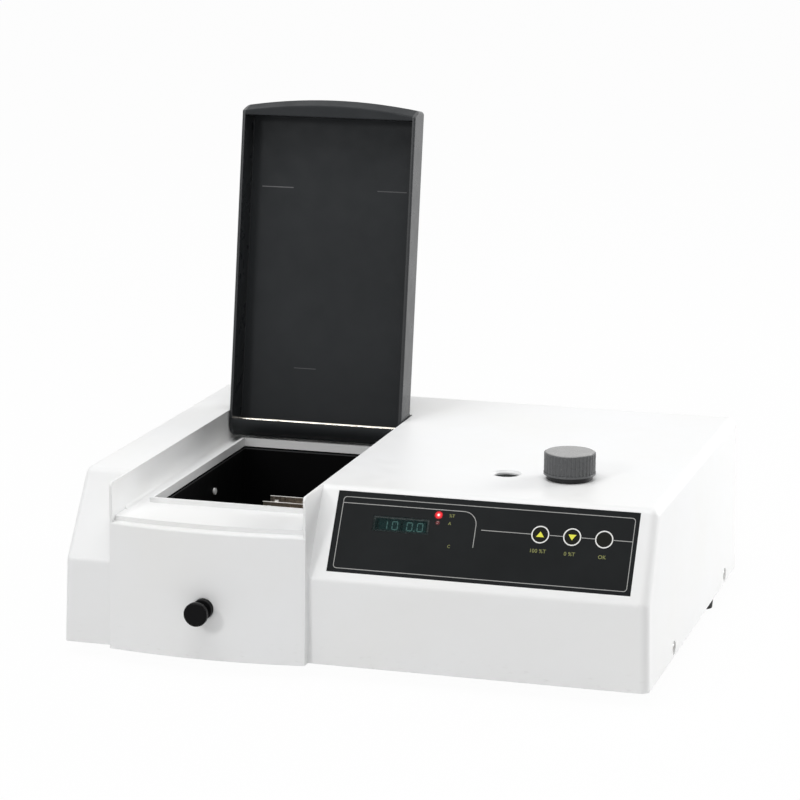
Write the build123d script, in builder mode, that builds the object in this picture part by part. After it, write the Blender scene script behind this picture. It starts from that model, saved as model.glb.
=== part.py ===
from build123d import *
import os
from math import acos, asin, atan2, cos, degrees, pi, radians, sin, sqrt, tan

# A bench spectrophotometer with its sample lid standing open, in millimetres.
# Places are distances from the casing's lower front left corner: x to the right, y to the back, z up.
# The function at() turns them into the model's frame, with its origin on the bench under the whole.

# Casing: two blocks with sloping fronts, in one moulding
width = 430.0
depth = 346.0
height = 121.5
nose_height = 62.0
slope_run = 36.0
wall = 3.0
left_draft = 2.2
right_draft = 1.1
rear_draft = 1.0
cross_round = 7.0
right_round = 6.5
left_round = 4.0
foot_height = 10.0

# Clearances
slip_gap = 0.05
fit_gap = 0.3
loose_gap = 0.5

# Middle bay, which stands proud of the blocks and bows forward
bay_left = 38.4
bay_width = 146.9
bay_bow = 6.5
bay_proud_top = 4.5
bay_proud_bottom = 7.5
bay_reach_back = 60.0
step_height = 3.5
step_set_back = 2.0
ledge_round = 1.6
fin = 1.9
fin_round = 3.0

# Recess for the lid, and the rim round the chamber opening
recess_rear_wall = 74.0
recess_round = 3.0
rim_side_gap = 10.0
rim_front = 44.5
rim_under_barrel = 2.8
rim_wall = 2.5
rim_height = 3.6

# Lid, which is modelled open
lid_side_gap = 1.0
lid_front = 9.8
lid_front_wall = 7.7
lid_slope_run = 5.0
lid_slope_rise = 12.0
lid_sink = 0.2
lid_floor_gap = 0.5
lid_wall = 2.5
barrel_radius = 12.0
barrel_offset = 0.5
barrel_floor_gap = 1.1
barrel_back_gap = 2.0
lip_reach = 1.0
lid_corner_round = 3.0
lid_round = 1.2
hinge_sink = 9.0
hinge_rod_radius = 1.5
hinge_rod_bite = 2.0
lid_open_angle = 98.8
buffer_width = 10.0
buffer_height = 3.5
buffer_depth = 3.7
buffer_spread = 100.0

# Control panel, measured to the right and up the slope
panel_side_gap = 12.6
panel_right_gap = 14.7
panel_low = 6.6
panel_high = 66.2
panel_thickness = 0.6
panel_sink = 0.1
panel_gap = 0.1
display_inset = 28.1
display_width = 41.0
display_low = 38.6
display_high = 50.0
display_lap = 1.5
module_margin = 2.5
module_depth = 4.6
lamp_inset = 74.9
lamp_rows = (53.6, 48.0)
lamp_radius = 1.5
key_row = 45.2
key_pitch = 22.6
key_inset = 68.3
key_radius = 6.4
key_gap = 0.15
key_proud = 0.1
key_flange = 1.0
key_flange_thickness = 0.6
key_stem_radius = 5.0
key_stem = 0.7
board_reach = 5.0
board_thickness = 1.6
board_inset = 7.0
post_inset = 5.0
post_radius = 3.0
screw_radius = 1.1
screw_length = 5.0
screw_head_radius = 2.2
screw_head_height = 1.4
switch_size = 6.0
switch_gap = 0.55

# Wavelength knob, dial and window
knob_right_gap = 81.5
knob_y = 104.6
knob_radius = 18.5
knob_height = 16.3
knob_flutes = 40
flute_radius = 1.1
flute_bite = 0.6
knob_lip_height = 1.6
knob_lip_proud = 0.3
knob_edge = 0.7
knob_roof = 4.2
collar_radius = 16.6
collar_height = 3.5
collar_lift = 0.4
shaft_radius = 3.0
shaft_hole_gap = 1.0
window_reach = 47.0
window_y = 106.8
window_radius = 9.3
window_bevel = 1.5
glass_lap = 1.6
glass_thickness = 1.5
dial_radius = 58.0
dial_thickness = 1.5
dial_sink = 12.0
dial_hub_radius = 8.0
dial_hub_height = 6.5
bridge_length = 49.0
bridge_width = 28.0
bridge_thickness = 3.0
bridge_post_radius = 4.0
bridge_post_spread = 37.0
bridge_post_ahead = 9.0

# Gears between the knob's shaft and the grating
gear_module = 2 / 3
pinion_teeth = 18
sector_teeth = 162
sector_teeth_cut = 25
pressure_angle = 20.0
tooth_slack = 0.12
tooth_heights = (-1.05, -0.35, 0.25, 0.8)
gear_thickness = 4.0
gear_lift = 3.0
sector_hub_radius = 10.0

# Sample chamber
liner_inset = 0.5
liner_wall = 1.5
liner_flange = 5.0
liner_drop = 0.7
beam_y = 124.0
beam_z = 45.0
beam_hole_radius = 8.0
beam_glass_radius = 10.0
chamber_screw_drop = 18.5
chamber_screw_y = (96.0, 172.5)
chamber_screw_radius = 1.5
chamber_screw_head = 2.6
chamber_screw_length = 6.0

# Cell carriage
cell_pitch = 18.3
cell_count = 4
cell_size = 12.5
cell_gap = 0.15
divider_thickness = 1.3
carriage_width = 35.6
divider_top = 70.0
block_low = 15.0
block_high = 25.0
block_overhang = 3.0
cell_rail_height = 10.0
cell_rail_thickness = 1.2
rod_block_depth = 7.0
rod_block_width = 24.0
rod_block_rise = 8.0
guide_rod_radius = 2.5
guide_rod_spread = 26.0
guide_rod_z = 19.5
spring_thickness = 0.4
spring_bulge = 2.0
spring_width = 11.0
spring_foot = 4.0
spring_clip = 8.0
spring_tab = 3.0
spring_tab_rise = 1.5

# Pull rod, its bush and its knob
rod_z = 37.3
rod_radius = 3.0
rod_hole_radius = 4.0
bush_radius = 7.35
bush_neck_radius = 5.0
bush_neck = 8.0
bush_proud = 4.2
bush_seat = 0.5
pull_knob_radius = 8.7
pull_knob_length = 10.0
pull_knob_gap = 3.5
pull_knob_round = 1.2
pull_knob_disc = 4.8
pull_knob_neck_radius = 5.4
rod_thread = 6.0

# Base pan, feet and casing screws
pan_gap = 1.0
pan_thickness = 1.5
pan_lift = 1.0
flange_height = 13.0
foot_radius = 9.0
foot_tip_radius = 8.0
foot_neck_radius = 6.0
foot_neck = 1.5
rear_foot_inset = 10.6
rear_foot_gap = 89.6
front_foot_inset = 60.0
front_foot_y = 50.0
side_screw_front = 92.0
side_screw_rear_gap = 52.0
side_screw_z = 6.3
side_recess_radius = 5.25
side_recess_depth = 1.4
side_screw_radius = 2.0
side_head_radius = 3.6
side_head_height = 1.2
side_screw_length = 8.0

# Monochromator
case_side_gap = 14.7
case_right_gap = 12.0
case_front = 52.0
case_rear = 236.0
case_high = 78.0
case_wall = 4.0
case_lid = 3.0
boss_radius = 8.0
boss_height = 2.5
bearing_pocket = 1.5
slit_hole_radius = 6.0
slit_plate = 18.0
slit_thickness = 1.0
slit_width = 0.8
slit_tall = 10.0
grating_size = 28.0
grating_thickness = 6.0
holder_plate = 4.0
table_radius = 17.0
table_thickness = 4.0
journal_radius = 4.0
entrance_reach = 48.5
mirror_size = 30.0
mirror_thickness = 6.0
collimator_y = 76.0
focus_reach = 46.5
focus_y = 128.5
mount_thickness = 3.0
mount_foot = 14.0

# Lamp
lamp_house_gap = 20.0
lamp_house_half = 38.0
lamp_house_rear_gap = 18.0
lamp_house_high = 84.0
sheet = 1.5
bulb_reach = 36.0
bulb_radius = 6.0
bulb_low = 37.0
bulb_straight = 15.0
bulb_base_width = 8.0
bulb_base_depth = 4.0
socket_width = 18.0
socket_depth = 14.0
socket_height = 12.0
socket_top = 32.0
lamp_post_size = 10.0
lens_radius = 11.0
lens_dome = 2.5
lens_rim = 2.0
lens_set_back = 8.0
barrel_wall = 2.0
roof_slots = 7
roof_slot_pitch = 9.0
roof_slot_width = 3.0

# Detector
detector_left = 14.0
detector_half = 20.0
detector_high = 66.0
detector_wall = 2.5
detector_hole_radius = 7.0
diode_radius = 4.5
diode_length = 5.0
diode_set_back = 17.0

# Transformer and main board
core_left = 74.0
core_width = 72.0
core_thickness = 22.0
core_high = 62.0
core_leg = 12.0
core_overlap = 8.0
coil_grow = 9.0
coil_gap = 0.4
main_board_gap = 8.0
main_board_right_gap = 10.0
main_board_front_gap = 12.0
main_board_rear_gap = 16.0
main_board_z = 12.0
standoff_radius = 3.0
standoff_inset = 6.0
capacitor_radius = 3.5
capacitor_height = 16.0
capacitor_pitch = 9.0
chip_length = 26.0
chip_width = 8.0
chip_height = 4.0
chip_pitch = 14.0
heat_sink_length = 18.0
heat_sink_thickness = 3.0
heat_sink_height = 22.0

# Rear panel with the mains inlet, the switch and the data port, seen through a window in the casing
rear_window_left = 58.0
rear_window_right = 170.0
rear_window_low = 14.0
rear_window_high = 64.0
rear_panel_margin = 8.0
rear_panel_gap = 9.5
socket_row = 38.0
inlet_x = 142.0
inlet_width = 27.0
inlet_tall = 20.0
inlet_depth = 20.0
inlet_flange = 2.0
inlet_lap = 3.5
inlet_wall = 2.0
inlet_pins = ((-7.0, -1.5), (0.0, 2.5), (7.0, -1.5))
pin_width = 2.0
pin_tall = 4.0
pin_set_back = 6.0
switch_x = 104.0
switch_width = 14.0
switch_tall = 22.0
switch_depth = 16.0
bezel_lap = 1.5
bezel_thickness = 1.8
switch_wall = 2.0
rocker_half = 7.5
rocker_reach = 5.5
rocker_dip = 1.5
rocker_back = 3.0
rocker_sink = 1.0
rocker_angle = 11.0
rocker_pin_radius = 1.2
port_x = 77.0
port_width = 31.0
port_tall = 12.5
port_plate = 1.0
port_shell_width = 17.0
port_shell_tall = 8.5
port_shell_wall = 0.8
port_depth = 8.0
port_proud = 4.0
port_rows = ((5, 1.4), (4, -1.4))
port_pin_pitch = 2.76
port_pin_radius = 0.5
vent_count = 9
vent_pitch = 7.0
vent_width = 3.0
vent_low = 30.0
vent_high = 70.0

# Worked out from the sizes above
left_lean = height * tan(radians(left_draft))
right_lean = height * tan(radians(right_draft))
rear_lean = height * tan(radians(rear_draft))
slope_angle = atan2(height - nose_height, slope_run)
bay_right = bay_left + bay_width
bay_middle = bay_left + bay_width / 2
bow_radius = ((bay_width / 2) ** 2 + bay_bow**2) / (2 * bay_bow)
recess_depth = lid_sink + 2 * barrel_radius + barrel_floor_gap
floor_height = height - recess_depth
floor_under = floor_height - wall
ledge_height = floor_height - step_height
recess_left = bay_left + fin
recess_right = bay_right - fin
recess_rear = depth - recess_rear_wall
hinge_y = recess_rear - barrel_offset - barrel_radius - barrel_back_gap
hinge_z = height - hinge_sink
rim_left = recess_left + rim_side_gap
rim_right = recess_right - rim_side_gap
rim_rear = hinge_y - barrel_radius + rim_under_barrel
pan_top = pan_lift + pan_thickness
panel_left = bay_right + panel_side_gap
panel_right = width - panel_right_gap
seat_depth = panel_thickness + panel_sink
board_depth = wall + board_reach
key_places = [panel_right - key_inset + key_pitch * k for k in range(3)]
knob_x = width - knob_right_gap
knob_base = height + collar_lift + collar_height
window_x = knob_x - window_reach
grating_y = knob_y + gear_module * (pinion_teeth + sector_teeth) / 2
entrance_x = knob_x - entrance_reach
focus_x = knob_x + focus_reach
case_left = bay_right + case_side_gap
case_right = width - case_right_gap
case_floor = pan_top + case_wall
case_top = case_high + case_lid
boss_top = case_top + boss_height
gear_low = case_top + gear_lift
gear_top = gear_low + gear_thickness
dial_top = height - dial_sink
dial_low = dial_top - dial_thickness
bridge_top = dial_low - dial_hub_height - loose_gap
bridge_low = bridge_top - bridge_thickness
shaft_hole = shaft_radius + slip_gap
journal_hole = journal_radius + slip_gap
liner_x = (rim_left + rim_wall + liner_inset, rim_right - rim_wall - liner_inset)
liner_y = (rim_front + rim_wall + liner_inset, rim_rear - rim_wall - liner_inset)
liner_outer_x = (liner_x[0] - liner_wall, liner_x[1] + liner_wall)
liner_outer_y = (liner_y[0] - liner_wall, liner_y[1] + liner_wall)
liner_top = floor_under - liner_drop
carriage_x = (bay_middle - carriage_width / 2, bay_middle + carriage_width / 2)
first_divider_y = beam_y - cell_pitch / 2
divider_places = [first_divider_y + cell_pitch * k for k in range(cell_count + 1)]
block_front = first_divider_y - divider_thickness / 2 - rod_block_depth - loose_gap
block_rear = divider_places[-1] + divider_thickness / 2 + block_overhang
lamp_house_front = case_rear + lamp_house_gap
lamp_house_rear = depth - lamp_house_rear_gap
bulb_y = lamp_house_front + bulb_reach
detector_right = liner_outer_x[0] - glass_thickness - fit_gap
diode_x = detector_right - diode_set_back
core_front = recess_rear - core_overlap
rear_panel_y = depth - rear_panel_gap
rear_face = rear_panel_y + sheet
main_board_x = (entrance_x + lamp_house_half + main_board_gap, width - main_board_right_gap)
main_board_y = (case_rear + main_board_front_gap, depth - main_board_rear_gap)
foot_places = [
    (front_foot_inset, front_foot_y),
    (width - front_foot_inset, front_foot_y),
    (rear_foot_inset, depth - rear_foot_gap),
    (width - rear_foot_inset, depth - rear_foot_gap),
]
side_screw_places = (side_screw_front, depth - side_screw_rear_gap)


def bay_end(z):
    """Where the ends of the bay's front stand at a height: the front leans back a little."""
    return (bay_proud_bottom - bay_proud_top) * z / ledge_height - bay_proud_bottom


rod_front = bay_end(rod_z) - bay_bow
bush_front = rod_front - bush_proud
pull_knob_rear = bush_front - pull_knob_gap
pull_knob_front = pull_knob_rear - pull_knob_length
left = -width / 2
front = -(depth + pull_knob_front) / 2

os.makedirs("parts", exist_ok=True)


def at(x, y, z):
    """A point of the model, from its distances to the casing's corner."""
    return Vector(left + x, front + y, foot_height + z)


def level(z):
    """A horizontal plane. Its sketches are seen from above."""
    return Plane(origin=at(0, 0, z))


def side_plane(x):
    """An upright plane whose sketches run back and up, and extrude to the right."""
    return Plane(origin=at(x, 0, 0), x_dir=(0, 1, 0), z_dir=(1, 0, 0))


def front_plane(y):
    """An upright plane whose sketches run right and up, and extrude to the front."""
    return Plane(origin=at(0, y, 0), x_dir=(1, 0, 0), z_dir=(0, -1, 0))


def panel_plane(lift):
    """A plane along the slope, whose sketches run right and up the slope, and extrude outwards."""
    outwards = (0, -sin(slope_angle), cos(slope_angle))
    return Plane(origin=at(0, 0, nose_height), x_dir=(1, 0, 0), z_dir=outwards).offset(lift)


def lid_plane(lift):
    """A plane through the hinge, turned with the open lid, whose sketches are the closed lid's plan."""
    angle = radians(lid_open_angle)
    hinge = Plane(origin=at(0, hinge_y, hinge_z), x_dir=(1, 0, 0), z_dir=(0, sin(angle), cos(angle)))
    return hinge.offset(lift)


def block(x, y, z, mode=Mode.ADD):
    """A box between two values of x, of y and of z."""
    with Locations(at(sum(x) / 2, sum(y) / 2, sum(z) / 2)):
        Box(x[1] - x[0], y[1] - y[0], z[1] - z[0], mode=mode)


def post(x, y, z, radius, mode=Mode.ADD):
    """An upright cylinder between two values of z."""
    with Locations(at(x, y, sum(z) / 2)):
        Cylinder(radius, z[1] - z[0], mode=mode)


def pin_along_x(x, y, z, radius, mode=Mode.ADD):
    """A cylinder between two values of x."""
    with Locations(Location(at(sum(x) / 2, y, z), (0, 90, 0))):
        Cylinder(radius, x[1] - x[0], mode=mode)


def pin_along_y(x, y, z, radius, mode=Mode.ADD):
    """A cylinder between two values of y."""
    with Locations(Location(at(x, sum(y) / 2, z), (90, 0, 0))):
        Cylinder(radius, y[1] - y[0], mode=mode)


def slab(plane, x, y, thickness, mode=Mode.ADD):
    """A rectangle between two values of x and of y on a plane, extruded along its normal."""
    with BuildSketch(plane) as outline:
        with Locations((sum(x) / 2, sum(y) / 2)):
            Rectangle(x[1] - x[0], y[1] - y[0])
    extrude(outline.sketch, amount=thickness, mode=mode)


def disc(plane, x, y, radius, thickness, mode=Mode.ADD):
    """A circle on a plane, extruded along its normal."""
    with BuildSketch(plane) as outline:
        with Locations((x, y)):
            Circle(radius)
    extrude(outline.sketch, amount=thickness, mode=mode)


def bowed_outline(plane, x, end, back):
    """A plan between two values of x, whose front bows out of the line at y = end."""
    bulge = bow_radius - sqrt(bow_radius**2 - ((x[1] - x[0]) / 2) ** 2)
    with BuildSketch(plane) as outline:
        with BuildLine():
            ThreePointArc((x[0], end), (sum(x) / 2, end - bulge), (x[1], end))
            Polyline((x[1], end), (x[1], back), (x[0], back), (x[0], end))
        make_face()
    return outline.sketch


def bay_body(x, skin, low, high):
    """The bay between two heights, with its front drawn in by a skin."""
    foot = bowed_outline(level(low), x, bay_end(low) + skin, bay_reach_back)
    shoulder = bowed_outline(level(high), x, bay_end(high) + skin, bay_reach_back)
    loft([foot, shoulder])


def side_outline(skin, low):
    """The blocks' side view, drawn in by a skin, from the height low upwards."""
    slant = skin / sin(slope_angle)
    rise = tan(slope_angle)
    return [
        (skin, low),
        (depth - skin, low),
        (depth - skin - rear_lean, height - skin),
        (slope_run + slant - skin / rise, height - skin),
        (skin, nose_height + (skin - slant) * rise),
    ]


def front_outline(skin, low):
    """The blocks' front view, drawn in by a skin, from the height low upwards."""
    return [
        (skin, low),
        (width - skin, low),
        (width - skin - right_lean, height - skin),
        (skin + left_lean, height - skin),
    ]


def two_blocks(skin, low):
    """The casing's two blocks as one solid, drawn in by a skin."""
    with BuildSketch(side_plane(0)) as from_the_side:
        with BuildLine():
            Polyline(*side_outline(skin, low), close=True)
        make_face()
    extrude(from_the_side.sketch, amount=width)
    with BuildSketch(front_plane(0)) as from_the_front:
        with BuildLine():
            Polyline(*front_outline(skin, low), close=True)
        make_face()
    extrude(from_the_front.sketch, amount=-depth, mode=Mode.INTERSECT)


def involute(turn):
    """How far an involute flank has wound off at an angle."""
    return tan(turn) - turn


def tooth_side(teeth, radius):
    """Half the angle that a tooth takes at a radius, with involute flanks and some slack."""
    pitch_radius = gear_module * teeth / 2
    base_radius = pitch_radius * cos(radians(pressure_angle))
    at_pitch = (pi * gear_module / 2 - tooth_slack) / (2 * pitch_radius)
    turn = acos(base_radius / max(radius, base_radius))
    return at_pitch + involute(radians(pressure_angle)) - involute(turn)


def tooth_points(teeth, first, count):
    """The outline of a row of gear teeth round the origin, the first one at an angle."""
    pitch_radius = gear_module * teeth / 2
    radii = [pitch_radius + gear_module * rise for rise in tooth_heights]
    points = []
    for k in range(count):
        middle = first + 2 * pi * k / teeth
        flank = [(r, middle - tooth_side(teeth, r)) for r in radii]
        other_flank = [(r, middle + tooth_side(teeth, r)) for r in reversed(radii)]
        points += [(r * cos(turn), r * sin(turn)) for r, turn in flank + other_flank]
    return points


def facing(here, first, second):
    """The direction, in degrees, that a mirror faces to send light from one place to another."""
    total = Vector(0, 0)
    for place in (first, second):
        total += (Vector(*place) - Vector(*here)).normalized()
    return degrees(atan2(total.Y, total.X))


def turned_plane(place, direction):
    """A level plane at a place, whose sketches run along a direction in degrees."""
    turn = radians(direction)
    return Plane(origin=at(*place, 0), x_dir=(cos(turn), sin(turn), 0), z_dir=(0, 0, 1))


def save(piece, name):
    """Labels a finished piece and writes it."""
    piece.part.label = name
    export_step(piece.part, f"parts/{name}.step")


# Space inside the casing, which is cut out of the cover
with BuildPart() as cover_space:
    two_blocks(wall, -wall)
    block(
        (recess_left - wall, recess_right + wall),
        (-bay_reach_back, recess_rear + wall),
        (floor_under, height + wall),
        mode=Mode.SUBTRACT,
    )
    bay_inside_x = (bay_left + wall, bay_right - wall)
    bay_body(bay_inside_x, wall, -wall, ledge_height - wall)
    riser_inside = bowed_outline(level(nose_height), bay_inside_x, step_set_back + wall, bay_reach_back)
    extrude(riser_inside, amount=floor_under - nose_height)

# White cover with the blocks, the bay, the lid recess and the rim
with BuildPart() as top_cover:
    two_blocks(0, 0)
    upper_edges = top_cover.edges().filter_by(lambda edge: edge.center().Z > foot_height + 1)
    fillet(upper_edges.filter_by(Axis.X), cross_round)
    for side, radius in ((-1, right_round), (0, left_round)):
        side_face = top_cover.faces().sort_by(Axis.X)[side]
        side_edges = side_face.edges().filter_by(lambda edge: edge.center().Z > foot_height + 1)
        fillet(side_edges, radius)
    bay_body((bay_left, bay_right), 0, 0, ledge_height)
    ledge_z = foot_height + ledge_height
    ledge_edges = top_cover.edges().filter_by(lambda edge: abs(edge.center().Z - ledge_z) < slip_gap)
    fillet(ledge_edges.sort_by(Axis.Y)[0], ledge_round)
    riser = bowed_outline(level(nose_height), (bay_left, bay_right), step_set_back, bay_reach_back)
    extrude(riser, amount=floor_height - nose_height)
    for fin_left in (bay_left, recess_right):
        with BuildSketch(side_plane(fin_left)) as fin_outline:
            with Locations(((bay_reach_back - bay_proud_top) / 2, (height + nose_height) / 2)):
                Rectangle(bay_reach_back + bay_proud_top, height - nose_height)
            fillet(fin_outline.vertices().sort_by(Axis.Y)[-2:].sort_by(Axis.X)[0], fin_round)
        extrude(amount=fin)
    with BuildSketch(front_plane(recess_rear)) as recess_outline:
        with Locations((bay_middle, floor_height + recess_depth)):
            Rectangle(recess_right - recess_left, 2 * recess_depth)
        fillet(recess_outline.vertices().sort_by(Axis.Y)[:2], recess_round)
    extrude(amount=recess_rear + bay_reach_back, mode=Mode.SUBTRACT)
    add(cover_space.part, mode=Mode.SUBTRACT)
    rim_top = floor_height + rim_height
    block((rim_left, rim_right), (rim_front, rim_rear), (floor_height - loose_gap, rim_top))
    block(
        (rim_left + rim_wall, rim_right - rim_wall),
        (rim_front + rim_wall, rim_rear - rim_wall),
        (floor_under - loose_gap, rim_top + loose_gap),
        mode=Mode.SUBTRACT,
    )
    pin_along_x(
        (recess_left - hinge_rod_bite - fit_gap, recess_right + hinge_rod_bite + fit_gap),
        hinge_y,
        hinge_z,
        hinge_rod_radius,
        mode=Mode.SUBTRACT,
    )
    post(knob_x, knob_y, (height - 2 * wall, height), shaft_radius + shaft_hole_gap, mode=Mode.SUBTRACT)
    with Locations(at(window_x, window_y, height)):
        CounterSinkHole(window_radius, window_radius + window_bevel, depth=2 * wall)
    slab(
        panel_plane(-seat_depth),
        (panel_left - panel_gap, panel_right + panel_gap),
        (panel_low - panel_gap, panel_high + panel_gap),
        2 * wall,
        mode=Mode.SUBTRACT,
    )
    display_left = panel_left + display_inset
    slab(
        panel_plane(-2 * wall),
        (display_left + display_lap, display_left + display_width - display_lap),
        (display_low + display_lap, display_high - display_lap),
        2 * wall,
        mode=Mode.SUBTRACT,
    )
    lamp_x = panel_left + lamp_inset
    for row in lamp_rows:
        disc(panel_plane(-2 * wall), lamp_x, row, lamp_radius + 2 * key_gap, 2 * wall, mode=Mode.SUBTRACT)
    for key_x in key_places:
        disc(panel_plane(-2 * wall), key_x, key_row, key_radius + 2 * key_gap, 2 * wall, mode=Mode.SUBTRACT)
    board_x = (panel_left + board_inset, panel_right - board_inset)
    board_y = (panel_low + board_inset, panel_high - board_inset)
    post_places = [
        (x, y)
        for x in (board_x[0] + post_inset, board_x[1] - post_inset)
        for y in (board_y[0] + post_inset, board_y[1] - post_inset)
    ]
    for x, y in post_places:
        disc(panel_plane(-board_depth), x, y, post_radius, board_depth - wall + loose_gap)
        screw_reach = screw_length - board_thickness
        disc(panel_plane(-board_depth), x, y, screw_radius, screw_reach, mode=Mode.SUBTRACT)
    bush_hole = (rod_front - bay_bow, rod_front + bush_seat)
    pin_along_y(bay_middle, bush_hole, rod_z, bush_radius + fit_gap, mode=Mode.SUBTRACT)
    pin_along_y(bay_middle, (rod_front, rod_front + 3 * wall), rod_z, bush_neck_radius, mode=Mode.SUBTRACT)
    for y in side_screw_places:
        for outer, inwards in ((0, 1), (width, -1)):
            recess_x = sorted((outer - inwards * wall, outer + inwards * side_recess_depth))
            hole_x = sorted((outer, outer + inwards * 2 * wall))
            pin_along_x(recess_x, y, side_screw_z, side_recess_radius, mode=Mode.SUBTRACT)
            pin_along_x(hole_x, y, side_screw_z, side_screw_radius + fit_gap, mode=Mode.SUBTRACT)
    block(
        (rear_window_left, rear_window_right),
        (depth - 3 * wall, depth + wall),
        (rear_window_low, rear_window_high),
        mode=Mode.SUBTRACT,
    )
    for k in range(vent_count):
        vent_x = entrance_x + vent_pitch * (k - (vent_count - 1) / 2)
        block(
            (vent_x - vent_width / 2, vent_x + vent_width / 2),
            (depth - 3 * wall, depth + wall),
            (vent_low, vent_high),
            mode=Mode.SUBTRACT,
        )
save(top_cover, "top_cover")

# Steel pan that closes the casing below and carries everything inside
with BuildPart() as base_pan:
    pan_x = (wall + pan_gap, width - wall - pan_gap)
    pan_y = (wall + pan_gap, depth - wall - pan_gap)
    block(pan_x, pan_y, (pan_lift, pan_top))
    tongue_x = (bay_left + wall + pan_gap, bay_right - wall - pan_gap)
    tongue = bowed_outline(level(pan_lift), tongue_x, bay_end(pan_top) + wall + pan_gap, bay_reach_back)
    extrude(tongue, amount=pan_thickness)
    for x in ((pan_x[0], pan_x[0] + pan_thickness), (pan_x[1] - pan_thickness, pan_x[1])):
        block(x, pan_y, (pan_top - pan_thickness, flange_height))
    for y in side_screw_places:
        pin_along_x((0, width), y, side_screw_z, side_screw_radius, mode=Mode.SUBTRACT)
    for x in (main_board_x[0] + standoff_inset, main_board_x[1] - standoff_inset):
        for y in (main_board_y[0] + standoff_inset, main_board_y[1] - standoff_inset):
            post(x, y, (pan_top, main_board_z), standoff_radius)
save(base_pan, "base_pan")

# Rubber feet
with BuildPart() as rubber_feet:
    neck_low = pan_lift - foot_neck
    for x, y in foot_places:
        with Locations(at(x, y, (neck_low - foot_height) / 2)):
            Cone(foot_tip_radius, foot_radius, foot_height + neck_low)
        post(x, y, (neck_low, pan_lift), foot_neck_radius)
save(rubber_feet, "rubber_feet")

# Screws that hold the cover to the pan, low on both sides
with BuildPart() as cover_screws:
    for y in side_screw_places:
        for seat, inwards in ((side_recess_depth, 1), (width - side_recess_depth, -1)):
            head_x = sorted((seat, seat - inwards * side_head_height))
            shank_x = sorted((seat, seat + inwards * side_screw_length))
            pin_along_x(head_x, y, side_screw_z, side_head_radius)
            pin_along_x(shank_x, y, side_screw_z, side_screw_radius)
save(cover_screws, "cover_screws")

# Black liner of the sample chamber, hung under the rim
with BuildPart() as sample_chamber:
    block(liner_outer_x, liner_outer_y, (pan_top, liner_top))
    block(
        (liner_outer_x[0] - liner_flange, liner_outer_x[1] + liner_flange),
        (liner_outer_y[0] - liner_flange, liner_outer_y[1] + liner_flange),
        (liner_top - liner_wall, liner_top),
    )
    block(liner_x, liner_y, (pan_top + liner_wall, liner_top), mode=Mode.SUBTRACT)
    pin_along_x((0, width), beam_y, beam_z, beam_hole_radius, mode=Mode.SUBTRACT)
    pin_along_y(bay_middle, (0, beam_y), rod_z, rod_hole_radius, mode=Mode.SUBTRACT)
    for x in (bay_middle - guide_rod_spread / 2, bay_middle + guide_rod_spread / 2):
        pin_along_y(x, (0, depth), guide_rod_z, guide_rod_radius, mode=Mode.SUBTRACT)
    for y in chamber_screw_y:
        pin_along_x((0, width), y, liner_top - chamber_screw_drop, chamber_screw_radius, mode=Mode.SUBTRACT)
save(sample_chamber, "sample_chamber")

# Screws in the liner's side walls
with BuildPart() as chamber_screws:
    for y in chamber_screw_y:
        z = liner_top - chamber_screw_drop
        for face, outwards in ((liner_x[0], -1), (liner_x[1], 1)):
            shank_x = sorted((face, face + outwards * chamber_screw_length))
            pin_along_x(shank_x, y, z, chamber_screw_radius)
            head_x = sorted((face, face - outwards * chamber_screw_radius))
            pin_along_x(head_x, y, z, chamber_screw_head)
save(chamber_screws, "chamber_screws")

# Dark lid: a shallow tray whose rear edge rolls into a barrel round the hinge
with BuildPart() as lid:
    lid_x = (recess_left + lid_side_gap, recess_right - lid_side_gap)
    lid_inside_x = (lid_x[0] + lid_wall, lid_x[1] - lid_wall)
    roof = height - lid_sink - hinge_z
    rim_line = floor_height + lid_floor_gap - hinge_z
    barrel_z = roof - barrel_radius
    tray = bowed_outline(lid_plane(rim_line), lid_x, lid_front - hinge_y, -lip_reach)
    extrude(tray, amount=roof - rim_line)
    top_edges = lid.edges().sort_by(Axis.Z)[-2:]
    chamfer(top_edges.sort_by(Axis.Y)[0], lid_slope_rise, lid_slope_run)
    corners = lid.edges().filter_by(lambda edge: edge.length < 2 * recess_depth)
    fillet(corners.group_by(Axis.Z)[-1], lid_corner_round)
    for broad_face in lid.faces().sort_by(SortBy.AREA)[-2:]:
        outer_edges = broad_face.edges().filter_by(lambda edge: edge.center().Z > foot_height + height)
        fillet(outer_edges, lid_round)
    slab(lid_plane(barrel_z), lid_x, (-lip_reach, barrel_offset), roof - barrel_z)
    turned_side = Plane(origin=lid_plane(0).origin, x_dir=lid_plane(0).y_dir, z_dir=(1, 0, 0))
    disc(turned_side.offset(lid_x[0]), barrel_offset, barrel_z, barrel_radius, lid_x[1] - lid_x[0])
    tray_inside_y = (lid_front + lid_front_wall - hinge_y, -lip_reach)
    tray_depth = roof - lid_wall - rim_line
    slab(lid_plane(rim_line), lid_inside_x, tray_inside_y, tray_depth, mode=Mode.SUBTRACT)
    slab(
        lid_plane(barrel_z),
        lid_inside_x,
        (-lip_reach, barrel_offset),
        roof - lid_wall - barrel_z,
        mode=Mode.SUBTRACT,
    )
    disc(
        turned_side.offset(lid_inside_x[0]),
        barrel_offset,
        barrel_z,
        barrel_radius - lid_wall,
        lid_inside_x[1] - lid_inside_x[0],
        mode=Mode.SUBTRACT,
    )
    disc(turned_side, 0, 0, hinge_rod_radius + slip_gap, width, mode=Mode.SUBTRACT)
save(lid, "lid")

# Bright rod that the lid turns on, held by the recess's side walls
with BuildPart() as hinge_rod:
    rod_x = (recess_left - hinge_rod_bite, recess_right + hinge_rod_bite)
    pin_along_x(rod_x, hinge_y, hinge_z, hinge_rod_radius)
save(hinge_rod, "hinge_rod")

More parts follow.
